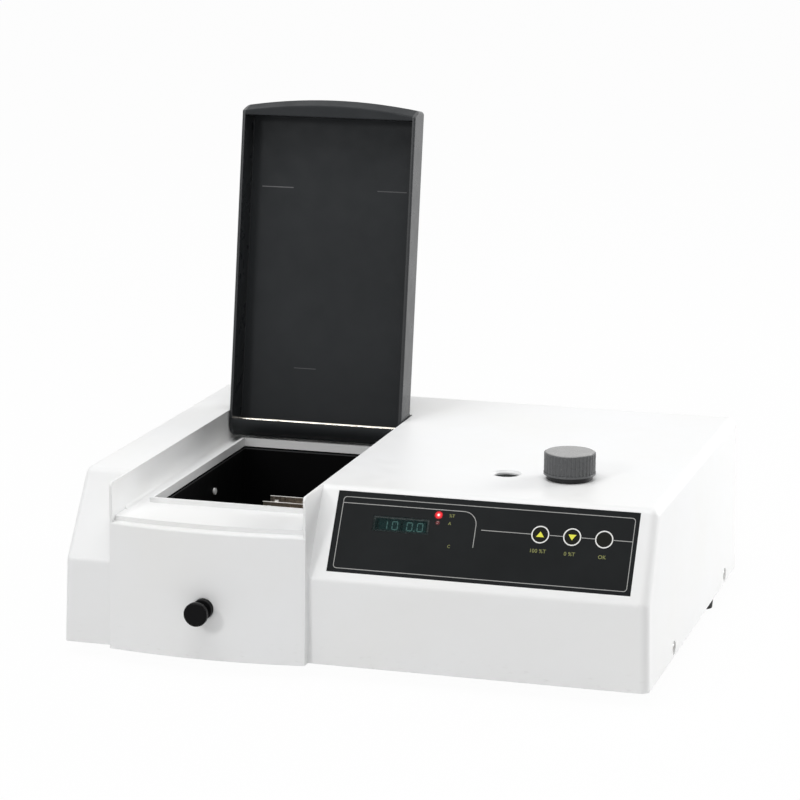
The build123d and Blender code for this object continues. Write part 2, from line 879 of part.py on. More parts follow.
# Rubber buffers behind the open lid
with BuildPart() as lid_buffers:
    for x in (bay_middle - buffer_spread / 2, bay_middle + buffer_spread / 2):
        block(
            (x - buffer_width / 2, x + buffer_width / 2),
            (recess_rear - buffer_depth, recess_rear),
            (height - loose_gap - buffer_height, height - loose_gap),
        )
save(lid_buffers, "lid_buffers")

# Printed overlay of the control panel
with BuildPart() as panel_overlay:
    overlay_plane = panel_plane(-seat_depth)
    slab(overlay_plane, (panel_left, panel_right), (panel_low, panel_high), panel_thickness)
    slab(
        overlay_plane,
        (display_left, display_left + display_width),
        (display_low, display_high),
        panel_thickness,
        mode=Mode.SUBTRACT,
    )
    for row in lamp_rows:
        disc(overlay_plane, lamp_x, row, lamp_radius + key_gap, panel_thickness, mode=Mode.SUBTRACT)
    for key_x in key_places:
        disc(overlay_plane, key_x, key_row, key_radius + key_gap, panel_thickness, mode=Mode.SUBTRACT)
save(panel_overlay, "panel_overlay")

# Tinted window over the digits
with BuildPart() as display_window:
    window_span = (display_left + panel_gap, display_left + display_width - panel_gap)
    slab(overlay_plane, window_span, (display_low + panel_gap, display_high - panel_gap), panel_thickness)
save(display_window, "display_window")

# Digit module behind the window
with BuildPart() as display_module:
    slab(
        panel_plane(-wall - fit_gap),
        (display_left - module_margin / 2, display_left + display_width + module_margin / 2),
        (display_low - module_margin, display_high + module_margin),
        -module_depth,
    )
save(display_module, "display_module")

# Two small lamps beside the display, one above the other
with BuildPart() as status_lamps:
    for row in lamp_rows:
        disc(panel_plane(-board_depth), lamp_x, row, lamp_radius, board_depth - panel_sink)
save(status_lamps, "status_lamps")

# Three round keys, each held by a flange behind the wall
key_flange_top = -wall - fit_gap
key_flange_low = key_flange_top - key_flange_thickness
for key_name, key_x in zip(("up_key", "down_key", "enter_key"), key_places):
    with BuildPart() as key:
        disc(panel_plane(key_flange_top), key_x, key_row, key_radius, key_proud - key_flange_top)
        disc(panel_plane(key_flange_low), key_x, key_row, key_radius + key_flange, key_flange_thickness)
        disc(panel_plane(key_flange_low), key_x, key_row, key_stem_radius, -key_stem)
    save(key, key_name)

# Board behind the panel
with BuildPart() as panel_board:
    slab(panel_plane(-board_depth), board_x, board_y, -board_thickness)
    for x, y in post_places:
        disc(panel_plane(-board_depth), x, y, screw_radius, -board_thickness, mode=Mode.SUBTRACT)
save(panel_board, "panel_board")

# Small push switches on the board, one under each key
with BuildPart() as key_switches:
    switch_top = key_flange_low - key_stem - switch_gap
    for key_x in key_places:
        slab(
            panel_plane(-board_depth),
            (key_x - switch_size / 2, key_x + switch_size / 2),
            (key_row - switch_size / 2, key_row + switch_size / 2),
            switch_top + board_depth,
        )
save(key_switches, "key_switches")

# Screws that hold the board to the cover's posts
with BuildPart() as panel_screws:
    board_back = -board_depth - board_thickness
    for x, y in post_places:
        disc(panel_plane(board_back), x, y, screw_radius, screw_length)
        disc(panel_plane(board_back), x, y, screw_head_radius, -screw_head_height)
save(panel_screws, "panel_screws")

# Ribbed knob that sets the wavelength
with BuildPart() as wavelength_knob:
    with BuildSketch(level(knob_base)):
        with Locations((knob_x, knob_y)):
            Circle(knob_radius)
            with PolarLocations(knob_radius + flute_radius - flute_bite, knob_flutes):
                Circle(flute_radius, mode=Mode.SUBTRACT)
    extrude(amount=knob_height - knob_edge)
    with Locations(at(knob_x, knob_y, knob_base + knob_height - knob_edge / 2)):
        Cone(knob_radius - flute_bite, knob_radius - flute_bite - knob_edge, knob_edge)
    post(knob_x, knob_y, (knob_base, knob_base + knob_lip_height), knob_radius + knob_lip_proud)
    bore = (knob_base, knob_base + knob_height - knob_roof)
    post(knob_x, knob_y, bore, shaft_radius, mode=Mode.SUBTRACT)
save(wavelength_knob, "wavelength_knob")

# Black collar under the knob
with BuildPart() as knob_collar:
    collar_z = (knob_base - collar_height, knob_base)
    post(knob_x, knob_y, collar_z, collar_radius)
    post(knob_x, knob_y, collar_z, shaft_radius, mode=Mode.SUBTRACT)
save(knob_collar, "knob_collar")

# Shaft from the knob down to the monochromator's lid
with BuildPart() as drive_shaft:
    shaft_low = case_top - bearing_pocket + slip_gap
    post(knob_x, knob_y, (shaft_low, bore[1]), shaft_radius)
save(drive_shaft, "drive_shaft")

# Pinion on the shaft, with a gap between teeth on the side of the sector
with BuildPart() as drive_pinion:
    with BuildSketch(Plane(origin=at(knob_x, knob_y, gear_low))):
        with BuildLine():
            Polyline(*tooth_points(pinion_teeth, pi / 2 + pi / pinion_teeth, pinion_teeth), close=True)
        make_face()
        Circle(shaft_radius, mode=Mode.SUBTRACT)
    extrude(amount=gear_thickness)
save(drive_pinion, "drive_pinion")

# Round scale that shows through the window in the top
with BuildPart() as wavelength_dial:
    post(knob_x, knob_y, (dial_low, dial_top), dial_radius)
    post(knob_x, knob_y, (dial_low - dial_hub_height, dial_low), dial_hub_radius)
    post(knob_x, knob_y, (dial_low - dial_hub_height, dial_top), shaft_radius, mode=Mode.SUBTRACT)
save(wavelength_dial, "wavelength_dial")

# Glass under the hole in the top
with BuildPart() as dial_window:
    post(window_x, window_y, (height - wall - glass_thickness, height - wall), window_radius + glass_lap)
save(dial_window, "dial_window")

# Bridge that carries the upper end of the shaft
with BuildPart() as bearing_bridge:
    block(
        (knob_x - bridge_length / 2, knob_x + bridge_length / 2),
        (knob_y - bridge_width / 2, knob_y + bridge_width / 2),
        (bridge_low, bridge_top),
    )
    post(knob_x, knob_y, (bridge_low, bridge_top), shaft_hole, mode=Mode.SUBTRACT)
    for x in (knob_x - bridge_post_spread / 2, knob_x + bridge_post_spread / 2):
        post(x, knob_y - bridge_post_ahead, (case_top, bridge_low), bridge_post_radius)
save(bearing_bridge, "bearing_bridge")

# Cast case of the monochromator
with BuildPart() as monochromator_case:
    block((case_left, case_right), (case_front, case_rear), (pan_top, case_high))
    block(
        (case_left + case_wall, case_right - case_wall),
        (case_front + case_wall, case_rear - case_wall),
        (case_floor, case_high),
        mode=Mode.SUBTRACT,
    )
    post(knob_x, grating_y, (case_floor, case_floor + boss_height), boss_radius)
    pocket_low = case_floor - bearing_pocket
    post(knob_x, grating_y, (pocket_low, case_floor + boss_height), journal_hole, mode=Mode.SUBTRACT)
    pin_along_x((0, case_left + case_wall), beam_y, beam_z, slit_hole_radius, mode=Mode.SUBTRACT)
    pin_along_y(entrance_x, (case_rear - case_wall, depth), beam_z, slit_hole_radius, mode=Mode.SUBTRACT)
save(monochromator_case, "monochromator_case")

# Lid of the case, with a boss for each upright shaft
with BuildPart() as monochromator_lid:
    block((case_left, case_right), (case_front, case_rear), (case_high, case_top))
    for y in (knob_y, grating_y):
        post(knob_x, y, (case_top, boss_top), boss_radius)
    post(knob_x, grating_y, (case_high, boss_top), journal_hole, mode=Mode.SUBTRACT)
    post(knob_x, knob_y, (case_top - bearing_pocket, boss_top), shaft_hole, mode=Mode.SUBTRACT)
save(monochromator_lid, "monochromator_lid")

# Toothed sector on the grating's journal
with BuildPart() as sector_gear:
    with BuildSketch(Plane(origin=at(knob_x, grating_y, gear_low))):
        first_tooth = -pi / 2 - pi * (sector_teeth_cut - 1) / sector_teeth
        with BuildLine():
            Polyline((0, 0), *tooth_points(sector_teeth, first_tooth, sector_teeth_cut), close=True)
        make_face()
        Circle(sector_hub_radius)
        Circle(journal_radius, mode=Mode.SUBTRACT)
    extrude(amount=gear_thickness)
save(sector_gear, "sector_gear")

# Holder that turns the grating: two round tables, a back plate and a journal at each end
grating_place = (knob_x, grating_y)
collimator_place = (entrance_x, collimator_y)
focus_place = (focus_x, focus_y)
grating_plane = turned_plane(grating_place, facing(grating_place, collimator_place, focus_place))
grating_low = beam_z - grating_size / 2
grating_high = beam_z + grating_size / 2
with BuildPart() as grating_holder:
    for table_low in (grating_low - table_thickness, grating_high):
        post(*grating_place, (table_low, table_low + table_thickness), table_radius)
    slab(
        grating_plane.offset(grating_low),
        (-grating_thickness - holder_plate, -grating_thickness),
        (-grating_size / 2, grating_size / 2),
        grating_size,
    )
    post(*grating_place, (pocket_low + slip_gap, grating_low - table_thickness), journal_radius)
    post(*grating_place, (grating_high + table_thickness, gear_top), journal_radius)
save(grating_holder, "grating_holder")

# Ruled block that splits the light
with BuildPart() as diffraction_grating:
    slab(
        grating_plane.offset(grating_low),
        (-grating_thickness, 0),
        (-grating_size / 2, grating_size / 2),
        grating_size,
    )
save(diffraction_grating, "diffraction_grating")

# Two mirrors, each on a bent bracket that stands on the case's floor
entrance_place = (entrance_x, case_rear - case_wall)
exit_place = (case_left + case_wall, beam_y)
mirror_planes = [
    turned_plane(collimator_place, facing(collimator_place, entrance_place, grating_place)),
    turned_plane(focus_place, facing(focus_place, grating_place, exit_place)),
]
mirror_low = beam_z - mirror_size / 2
for mirror_name, mirror_plane in zip(("collimating_mirror", "focusing_mirror"), mirror_planes):
    with BuildPart() as mirror_block:
        slab(
            mirror_plane.offset(mirror_low),
            (-mirror_thickness, 0),
            (-mirror_size / 2, mirror_size / 2),
            mirror_size,
        )
    save(mirror_block, mirror_name)

with BuildPart() as mirror_mounts:
    for mirror_plane in mirror_planes:
        back = -mirror_thickness - mount_thickness
        across = (-mirror_size / 2, mirror_size / 2)
        slab(
            mirror_plane.offset(case_floor),
            (back, -mirror_thickness),
            across,
            mirror_low + mirror_size - case_floor,
        )
        slab(mirror_plane.offset(case_floor), (back, back + mount_foot), across, mount_thickness)
save(mirror_mounts, "mirror_mounts")

# Slit plates, one where the light comes in and one where it goes out
with BuildPart() as slit_plates:
    plate_z = (beam_z - slit_plate / 2, beam_z + slit_plate / 2)
    slit_z = (beam_z - slit_tall / 2, beam_z + slit_tall / 2)
    exit_x = (exit_place[0], exit_place[0] + slit_thickness)
    entrance_y = (entrance_place[1] - slit_thickness, entrance_place[1])
    block(exit_x, (beam_y - slit_plate / 2, beam_y + slit_plate / 2), plate_z)
    block(exit_x, (beam_y - slit_width / 2, beam_y + slit_width / 2), slit_z, mode=Mode.SUBTRACT)
    block((entrance_x - slit_plate / 2, entrance_x + slit_plate / 2), entrance_y, plate_z)
    slit_x = (entrance_x - slit_width / 2, entrance_x + slit_width / 2)
    block(slit_x, entrance_y, slit_z, mode=Mode.SUBTRACT)
save(slit_plates, "slit_plates")

# Tube that carries the light from the case to the chamber
with BuildPart() as exit_tube:
    tube_x = (liner_outer_x[1] + glass_thickness + fit_gap, case_left)
    pin_along_x(tube_x, beam_y, beam_z, beam_hole_radius)
    pin_along_x(tube_x, beam_y, beam_z, beam_hole_radius - liner_wall, mode=Mode.SUBTRACT)
save(exit_tube, "exit_tube")

# Glass discs over the chamber's two beam holes
with BuildPart() as chamber_windows:
    for x in (liner_outer_x[0] - glass_thickness, liner_outer_x[1]):
        pin_along_x((x, x + glass_thickness), beam_y, beam_z, beam_glass_radius)
save(chamber_windows, "chamber_windows")

# Sheet metal house round the lamp, with slots in its roof
with BuildPart() as lamp_house:
    house_x = (entrance_x - lamp_house_half, entrance_x + lamp_house_half)
    block(house_x, (lamp_house_front, lamp_house_rear), (pan_top, lamp_house_high))
    block(
        (house_x[0] + sheet, house_x[1] - sheet),
        (lamp_house_front + sheet, lamp_house_rear - sheet),
        (pan_top, lamp_house_high - sheet),
        mode=Mode.SUBTRACT,
    )
    pin_along_y(entrance_x, (0, lamp_house_front + 2 * sheet), beam_z, lens_radius, mode=Mode.SUBTRACT)
    for k in range(roof_slots):
        slot_x = entrance_x + roof_slot_pitch * (k - (roof_slots - 1) / 2)
        block(
            (slot_x - roof_slot_width / 2, slot_x + roof_slot_width / 2),
            (lamp_house_front + lamp_house_gap, lamp_house_rear - lamp_house_gap),
            (lamp_house_high - 2 * sheet, lamp_house_high),
            mode=Mode.SUBTRACT,
        )
save(lamp_house, "lamp_house")

# Halogen capsule with its flat base
with BuildPart() as halogen_lamp:
    bulb_top = bulb_low + bulb_straight
    post(entrance_x, bulb_y, (bulb_low, bulb_top), bulb_radius)
    with Locations(at(entrance_x, bulb_y, bulb_top)):
        Sphere(bulb_radius)
    block(
        (entrance_x - bulb_base_width / 2, entrance_x + bulb_base_width / 2),
        (bulb_y - bulb_base_depth / 2, bulb_y + bulb_base_depth / 2),
        (socket_top, bulb_low),
    )
save(halogen_lamp, "halogen_lamp")

# Ceramic socket on its post
with BuildPart() as lamp_socket:
    block(
        (entrance_x - socket_width / 2, entrance_x + socket_width / 2),
        (bulb_y - socket_depth / 2, bulb_y + socket_depth / 2),
        (socket_top - socket_height, socket_top),
    )
    block(
        (entrance_x - lamp_post_size / 2, entrance_x + lamp_post_size / 2),
        (bulb_y - lamp_post_size / 2, bulb_y + lamp_post_size / 2),
        (pan_top, socket_top - socket_height),
    )
save(lamp_socket, "lamp_socket")

# Lens in front of the lamp
with BuildPart() as condenser_lens:
    lens_y = lamp_house_front - lens_set_back
    lens_edge = lens_radius - slip_gap
    dome_radius = (lens_edge**2 + lens_dome**2) / (2 * lens_dome)
    dome_turn = asin(lens_edge / dome_radius) / 2
    with BuildSketch(side_plane(entrance_x)):
        with BuildLine():
            Polyline(
                (lens_y + lens_rim, beam_z + lens_edge),
                (lens_y, beam_z + lens_edge),
                (lens_y, beam_z),
                (lens_y + lens_rim + lens_dome, beam_z),
            )
            ThreePointArc(
                (lens_y + lens_rim + lens_dome, beam_z),
                (
                    lens_y + lens_rim + lens_dome - dome_radius * (1 - cos(dome_turn)),
                    beam_z + dome_radius * sin(dome_turn),
                ),
                (lens_y + lens_rim, beam_z + lens_edge),
            )
        make_face()
    revolve(axis=Axis(at(entrance_x, 0, beam_z), (0, 1, 0)))
save(condenser_lens, "condenser_lens")

# Barrel that holds the lens between the lamp house and the case
with BuildPart() as condenser_barrel:
    barrel_y = (case_rear, lamp_house_front)
    pin_along_y(entrance_x, barrel_y, beam_z, lens_radius + barrel_wall)
    pin_along_y(entrance_x, barrel_y, beam_z, lens_radius, mode=Mode.SUBTRACT)
save(condenser_barrel, "condenser_barrel")

# Housing that keeps stray light from the detector
with BuildPart() as detector_housing:
    housing_y = (beam_y - detector_half, beam_y + detector_half)
    block((detector_left, detector_right), housing_y, (pan_top, detector_high))
    block(
        (detector_left + detector_wall, detector_right - detector_wall),
        (housing_y[0] + detector_wall, housing_y[1] - detector_wall),
        (pan_top, detector_high - detector_wall),
        mode=Mode.SUBTRACT,
    )
    hole_x = (detector_right - 2 * detector_wall, detector_right)
    pin_along_x(hole_x, beam_y, beam_z, detector_hole_radius, mode=Mode.SUBTRACT)
save(detector_housing, "detector_housing")

# Photodiode that faces the beam
with BuildPart() as photodiode:
    pin_along_x((diode_x - diode_length, diode_x), beam_y, beam_z, diode_radius)
save(photodiode, "photodiode")

# Small upright board behind the photodiode
with BuildPart() as detector_board:
    board_front = diode_x - diode_length
    block(
        (board_front - board_thickness, board_front),
        (housing_y[0] + 2 * detector_wall, housing_y[1] - 2 * detector_wall),
        (pan_top, detector_high - 2 * detector_wall),
    )
save(detector_board, "detector_board")

# Sliding block of the cell carriage, with low rails that place each cell
with BuildPart() as carriage_block:
    block(carriage_x, (block_front, block_rear), (block_low, block_high))
    nose_x = (bay_middle - rod_block_width / 2, bay_middle + rod_block_width / 2)
    block(nose_x, (block_front, block_front + rod_block_depth), (block_high, rod_z + rod_block_rise))
    for x in (bay_middle - guide_rod_spread / 2, bay_middle + guide_rod_spread / 2):
        pin_along_y(x, (0, depth), guide_rod_z, guide_rod_radius + slip_gap, mode=Mode.SUBTRACT)
    pin_along_y(bay_middle, (0, block_front + rod_thread), rod_z, rod_radius, mode=Mode.SUBTRACT)
    rail_reach = cell_size / 2 + cell_gap
    for near, far in zip(divider_places, divider_places[1:]):
        rail_y = (near + divider_thickness / 2 + cell_gap, far - divider_thickness / 2 - cell_gap)
        for x in (bay_middle - rail_reach - cell_rail_thickness, bay_middle + rail_reach):
            block((x, x + cell_rail_thickness), rail_y, (block_high, block_high + cell_rail_height))
save(carriage_block, "carriage_block")

# Upright plates between the cells
with BuildPart() as cell_dividers:
    for y in divider_places:
        block(carriage_x, (y - divider_thickness / 2, y + divider_thickness / 2), (block_high, divider_top))
save(cell_dividers, "cell_dividers")

# Leaf springs that press each cell back, with a small tab above the plate
with BuildPart() as cell_springs:
    spring_x = (bay_middle - spring_width / 2, bay_middle + spring_width / 2)
    tab_x = (spring_x[0] - spring_tab, spring_x[0])
    clip_low = divider_top - spring_clip
    spring_low = block_high + spring_foot
    spring_middle = (spring_low + clip_low) / 2
    for y in divider_places[:-1]:
        face = y + divider_thickness / 2
        outer = face + spring_thickness
        with BuildSketch(side_plane(spring_x[0])):
            with BuildLine():
                ThreePointArc((face, spring_low), (face + spring_bulge, spring_middle), (face, clip_low))
                Line((face, clip_low), (outer, clip_low))
                ThreePointArc((outer, clip_low), (outer + spring_bulge, spring_middle), (outer, spring_low))
                Line((outer, spring_low), (face, spring_low))
            make_face()
        extrude(amount=spring_width)
        block((tab_x[0], spring_x[1]), (face, outer), (clip_low, divider_top))
        block(tab_x, (face, outer), (divider_top, divider_top + spring_tab_rise))
save(cell_springs, "cell_springs")

# Two rods that the block slides on
with BuildPart() as guide_rods:
    for x in (bay_middle - guide_rod_spread / 2, bay_middle + guide_rod_spread / 2):
        pin_along_y(x, liner_outer_y, guide_rod_z, guide_rod_radius)
save(guide_rods, "guide_rods")

# Rod that pulls the carriage forward, one cell at a time
with BuildPart() as pull_rod:
    pin_along_y(bay_middle, (pull_knob_rear - rod_thread, block_front + rod_thread), rod_z, rod_radius)
save(pull_rod, "pull_rod")

# Black knob on the rod's front end: a disc with a neck behind it
with BuildPart() as pull_knob:
    disc_y = (pull_knob_front, pull_knob_front + pull_knob_disc)
    pin_along_y(bay_middle, disc_y, rod_z, pull_knob_radius)
    fillet(pull_knob.edges().filter_by(GeomType.CIRCLE), pull_knob_round)
    pin_along_y(bay_middle, (disc_y[1], pull_knob_rear), rod_z, pull_knob_neck_radius)
    thread_y = (pull_knob_rear - rod_thread, pull_knob_rear)
    pin_along_y(bay_middle, thread_y, rod_z, rod_radius, mode=Mode.SUBTRACT)
save(pull_knob, "pull_knob")

# Bush in the bay's front that the rod slides through
with BuildPart() as rod_bush:
    bush_back = rod_front + bush_seat
    pin_along_y(bay_middle, (bush_front, bush_back), rod_z, bush_radius)
    fillet(rod_bush.edges().filter_by(GeomType.CIRCLE).sort_by(Axis.Y)[0], bush_seat)
    pin_along_y(bay_middle, (bush_back, bush_back + bush_neck), rod_z, bush_neck_radius)
    bore_y = (bush_front, bush_back + bush_neck)
    pin_along_y(bay_middle, bore_y, rod_z, rod_radius + slip_gap, mode=Mode.SUBTRACT)
save(rod_bush, "rod_bush")

# Mains transformer: an iron core with a coil round its middle leg
core_x = (core_left, core_left + core_width)
core_y = (core_front, core_front + core_thickness)
core_middle = core_left + core_width / 2
leg_x = (core_middle - core_leg, core_middle + core_leg)
core_window_z = (pan_top + core_leg, core_high - core_leg)
with BuildPart() as transformer_core:
    block(core_x, core_y, (pan_top, core_high))
    for x in ((core_x[0] + core_leg, leg_x[0]), (leg_x[1], core_x[1] - core_leg)):
        block(x, core_y, core_window_z, mode=Mode.SUBTRACT)
save(transformer_core, "transformer_core")

with BuildPart() as transformer_coil:
    coil_z = (core_window_z[0] + coil_gap, core_window_z[1] - coil_gap)
    block(
        (core_x[0] + core_leg + coil_gap, core_x[1] - core_leg - coil_gap),
        (core_y[0] - coil_grow, core_y[1] + coil_grow),
        coil_z,
    )
    fillet(transformer_coil.edges().filter_by(Axis.Z), coil_grow / 2)
    block(
        (leg_x[0] - coil_gap, leg_x[1] + coil_gap),
        (core_y[0] - coil_gap, core_y[1] + coil_gap),
        coil_z,
        mode=Mode.SUBTRACT,
    )
save(transformer_coil, "transformer_coil")

# Main board on the pan's standoffs, with its larger components
with BuildPart() as main_board:
    board_top = main_board_z + board_thickness
    block(main_board_x, main_board_y, (main_board_z, board_top))
    middle_x = sum(main_board_x) / 2
    middle_y = sum(main_board_y) / 2
    for k in (-1, 0, 1):
        capacitor_y = middle_y + 2 * chip_pitch
        post(
            middle_x + capacitor_pitch * k,
            capacitor_y,
            (board_top, board_top + capacitor_height),
            capacitor_radius,
        )
        chip_y = middle_y + chip_pitch * k
        block(
            (middle_x - chip_length / 2, middle_x + chip_length / 2),
            (chip_y - chip_width / 2, chip_y + chip_width / 2),
            (board_top, board_top + chip_height),
        )
    block(
        (middle_x - heat_sink_length / 2, middle_x + heat_sink_length / 2),
        (middle_y - 2 * chip_pitch, middle_y - 2 * chip_pitch + heat_sink_thickness),
        (board_top, board_top + heat_sink_height),
    )
save(main_board, "main_board")

# Rear panel, which stands on the pan behind the casing's rear window
with BuildPart() as rear_panel:
    block(
        (rear_window_left - rear_panel_margin, rear_window_right + rear_panel_margin),
        (rear_panel_y, rear_face),
        (pan_top, rear_window_high + rear_panel_margin),
    )
    for x, wide, tall in (
        (inlet_x, inlet_width, inlet_tall),
        (switch_x, switch_width, switch_tall),
        (port_x, port_shell_width, port_shell_tall),
    ):
        block(
            (x - wide / 2, x + wide / 2),
            (rear_panel_y, rear_face),
            (socket_row - tall / 2, socket_row + tall / 2),
            mode=Mode.SUBTRACT,
        )
save(rear_panel, "rear_panel")

# Three-pin mains inlet
with BuildPart() as mains_inlet:
    inlet_rim = rear_face + inlet_flange
    inlet_back = rear_face - inlet_depth
    body_x = (inlet_x - inlet_width / 2, inlet_x + inlet_width / 2)
    body_z = (socket_row - inlet_tall / 2, socket_row + inlet_tall / 2)
    block(
        (body_x[0] - inlet_lap, body_x[1] + inlet_lap),
        (rear_face, inlet_rim),
        (body_z[0] - inlet_lap, body_z[1] + inlet_lap),
    )
    block(body_x, (inlet_back, rear_face), body_z)
    block(
        (body_x[0] + inlet_wall, body_x[1] - inlet_wall),
        (inlet_back + inlet_wall, inlet_rim),
        (body_z[0] + inlet_wall, body_z[1] - inlet_wall),
        mode=Mode.SUBTRACT,
    )
    for across, up in inlet_pins:
        block(
            (inlet_x + across - pin_width / 2, inlet_x + across + pin_width / 2),
            (inlet_back, inlet_rim - pin_set_back),
            (socket_row + up - pin_tall / 2, socket_row + up + pin_tall / 2),
        )
save(mains_inlet, "mains_inlet")

# Mains switch: its body and the rocker that tips in it
switch_outer_x = (switch_x - switch_width / 2, switch_x + switch_width / 2)
switch_outer_z = (socket_row - switch_tall / 2, socket_row + switch_tall / 2)
switch_inside_x = (switch_outer_x[0] + switch_wall, switch_outer_x[1] - switch_wall)
pivot_y = rear_face - rocker_sink
with BuildPart() as switch_body:
    block(
        (switch_outer_x[0] - bezel_lap, switch_outer_x[1] + bezel_lap),
        (rear_face, rear_face + bezel_thickness),
        (switch_outer_z[0] - bezel_lap, switch_outer_z[1] + bezel_lap),
    )
    block(switch_outer_x, (rear_face - switch_depth, rear_face), switch_outer_z)
    block(
        switch_inside_x,
        (rear_face - switch_depth + switch_wall, rear_face + bezel_thickness),
        (switch_outer_z[0] + switch_wall, switch_outer_z[1] - switch_wall),
        mode=Mode.SUBTRACT,
    )
    pin_x = (switch_inside_x[0] - switch_wall / 2, switch_inside_x[1] + switch_wall / 2)
    pin_along_x(pin_x, pivot_y, socket_row, rocker_pin_radius + slip_gap, mode=Mode.SUBTRACT)
save(switch_body, "switch_body")

with BuildPart() as switch_rocker:
    tip = radians(rocker_angle)
    rocker_x = (switch_inside_x[0] + fit_gap, switch_inside_x[1] - fit_gap)
    pivot = at(rocker_x[0], pivot_y, socket_row)
    with BuildSketch(Plane(origin=pivot, x_dir=(0, cos(tip), sin(tip)), z_dir=(1, 0, 0))):
        with BuildLine():
            Polyline(
                (rocker_reach, -rocker_half),
                (rocker_reach - rocker_dip, 0),
                (rocker_reach, rocker_half),
                (0, rocker_half),
                (-rocker_back, 0),
                (0, -rocker_half),
                close=True,
            )
        make_face()
    extrude(amount=rocker_x[1] - rocker_x[0])
    pin_along_x((pin_x[0] + slip_gap, pin_x[1] - slip_gap), pivot_y, socket_row, rocker_pin_radius)
save(switch_rocker, "switch_rocker")

# Nine-pin data port
with BuildPart() as data_port:
    block(
        (port_x - port_width / 2, port_x + port_width / 2),
        (rear_face, rear_face + port_plate),
        (socket_row - port_tall / 2, socket_row + port_tall / 2),
    )
    shell_x = (port_x - port_shell_width / 2, port_x + port_shell_width / 2)
    shell_z = (socket_row - port_shell_tall / 2, socket_row + port_shell_tall / 2)
    shell_top = rear_face + port_plate + port_proud
    block(shell_x, (rear_face - port_depth, shell_top), shell_z)
    block(
        (shell_x[0] + port_shell_wall, shell_x[1] - port_shell_wall),
        (rear_face, shell_top),
        (shell_z[0] + port_shell_wall, shell_z[1] - port_shell_wall),
        mode=Mode.SUBTRACT,
    )
    for count, up in port_rows:
        for k in range(count):
            x = port_x + port_pin_pitch * (k - (count - 1) / 2)
            pin_along_y(x, (rear_face, shell_top - port_plate), socket_row + up, port_pin_radius)
save(data_port, "data_port")
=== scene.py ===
import math

import bmesh
import bpy
from bpy.props import (
    FloatProperty, FloatVectorProperty, IntProperty, PointerProperty, StringProperty,
)
from mathutils import Matrix, Vector


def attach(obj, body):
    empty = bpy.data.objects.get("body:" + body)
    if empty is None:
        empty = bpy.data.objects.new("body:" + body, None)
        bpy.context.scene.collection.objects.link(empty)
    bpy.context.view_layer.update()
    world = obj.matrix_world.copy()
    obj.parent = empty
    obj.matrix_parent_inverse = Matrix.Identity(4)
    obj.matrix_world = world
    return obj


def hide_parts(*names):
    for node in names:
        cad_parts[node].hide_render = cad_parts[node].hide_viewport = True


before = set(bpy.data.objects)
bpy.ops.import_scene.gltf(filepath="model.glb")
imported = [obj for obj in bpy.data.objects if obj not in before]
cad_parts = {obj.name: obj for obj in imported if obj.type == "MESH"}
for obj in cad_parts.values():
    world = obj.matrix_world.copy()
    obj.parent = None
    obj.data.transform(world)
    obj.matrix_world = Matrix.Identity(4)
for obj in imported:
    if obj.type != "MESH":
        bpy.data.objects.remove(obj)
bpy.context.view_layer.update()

bl_info = {
    "name": "Bench spectrophotometer",
    "version": (1, 0, 0),
    "blender": (4, 5, 0),
    "location": "View3D > Sidebar > Spectrophotometer",
    "description": "Finishes, printing and small fittings of a bench spectrophotometer",
    "category": "Object",
}

MM = 0.001

# Where the casing's lower front left corner stands, and how its front slopes from its nose up
CORNER = Vector((-215.0, -157.754, 10.0)) * MM
SLOPE = math.atan2(59.5, 36.0)
NOSE = 62.0

# Heights over the slope, and the keys across and up it. Lines stop at KEY_GAP from a key's middle
PANEL_TOP = -0.1
KEY_TOP = 0.1
KEYS = {"up_key": 347.0, "down_key": 369.6, "enter_key": 392.2}
KEY_ROW = 45.2
KEY_GAP = 6.6


def at(x, y, z):
    """A point of the model in metres, from millimetres to the casing's corner."""
    return CORNER + Vector((x, y, z)) * MM


def panel_place(lift):
    """Carries millimetres drawn flat, across and up the slope, to the sloping panel."""
    slope = Matrix.Translation(at(0, 0, NOSE)) @ Matrix.Rotation(SLOPE, 4, "X")
    return slope @ Matrix.Translation((0, 0, lift * MM)) @ Matrix.Scale(MM, 4)


class Signal:
    """A number, colour or vector on its way through a material. Sums and products add Math nodes."""

    def __init__(self, finish, socket):
        self.finish = finish
        self.socket = socket

    def maths(self, operation, *values):
        return self.finish.node("ShaderNodeMath", {"operation": operation}, dict(enumerate(values)))

    def __add__(self, other):
        return self.maths("ADD", self, other)

    def __sub__(self, other):
        return self.maths("SUBTRACT", self, other)

    def __rsub__(self, other):
        return self.maths("SUBTRACT", other, self)

    def __mul__(self, other):
        return self.maths("MULTIPLY", self, other)

    def __gt__(self, other):
        return self.maths("GREATER_THAN", self, other)

    def __abs__(self):
        return self.maths("ABSOLUTE", self)

    __radd__ = __add__

    def near(self, middle, reach):
        """1 where the signal is within reach of a value, and 0 elsewhere."""
        return self.maths("COMPARE", self, middle, reach)

    def limit(self):
        """The signal held between 0 and 1."""
        return self.finish.node("ShaderNodeClamp", {}, {"Value": self})

    def spread(self, low, high, least=0.0, most=1.0):
        """The signal's span from low to high stretched to another span, and held there."""
        values = {"Value": self, "From Min": low, "From Max": high, "To Min": least, "To Max": most}
        return self.finish.node("ShaderNodeMapRange", {"clamp": True}, values)


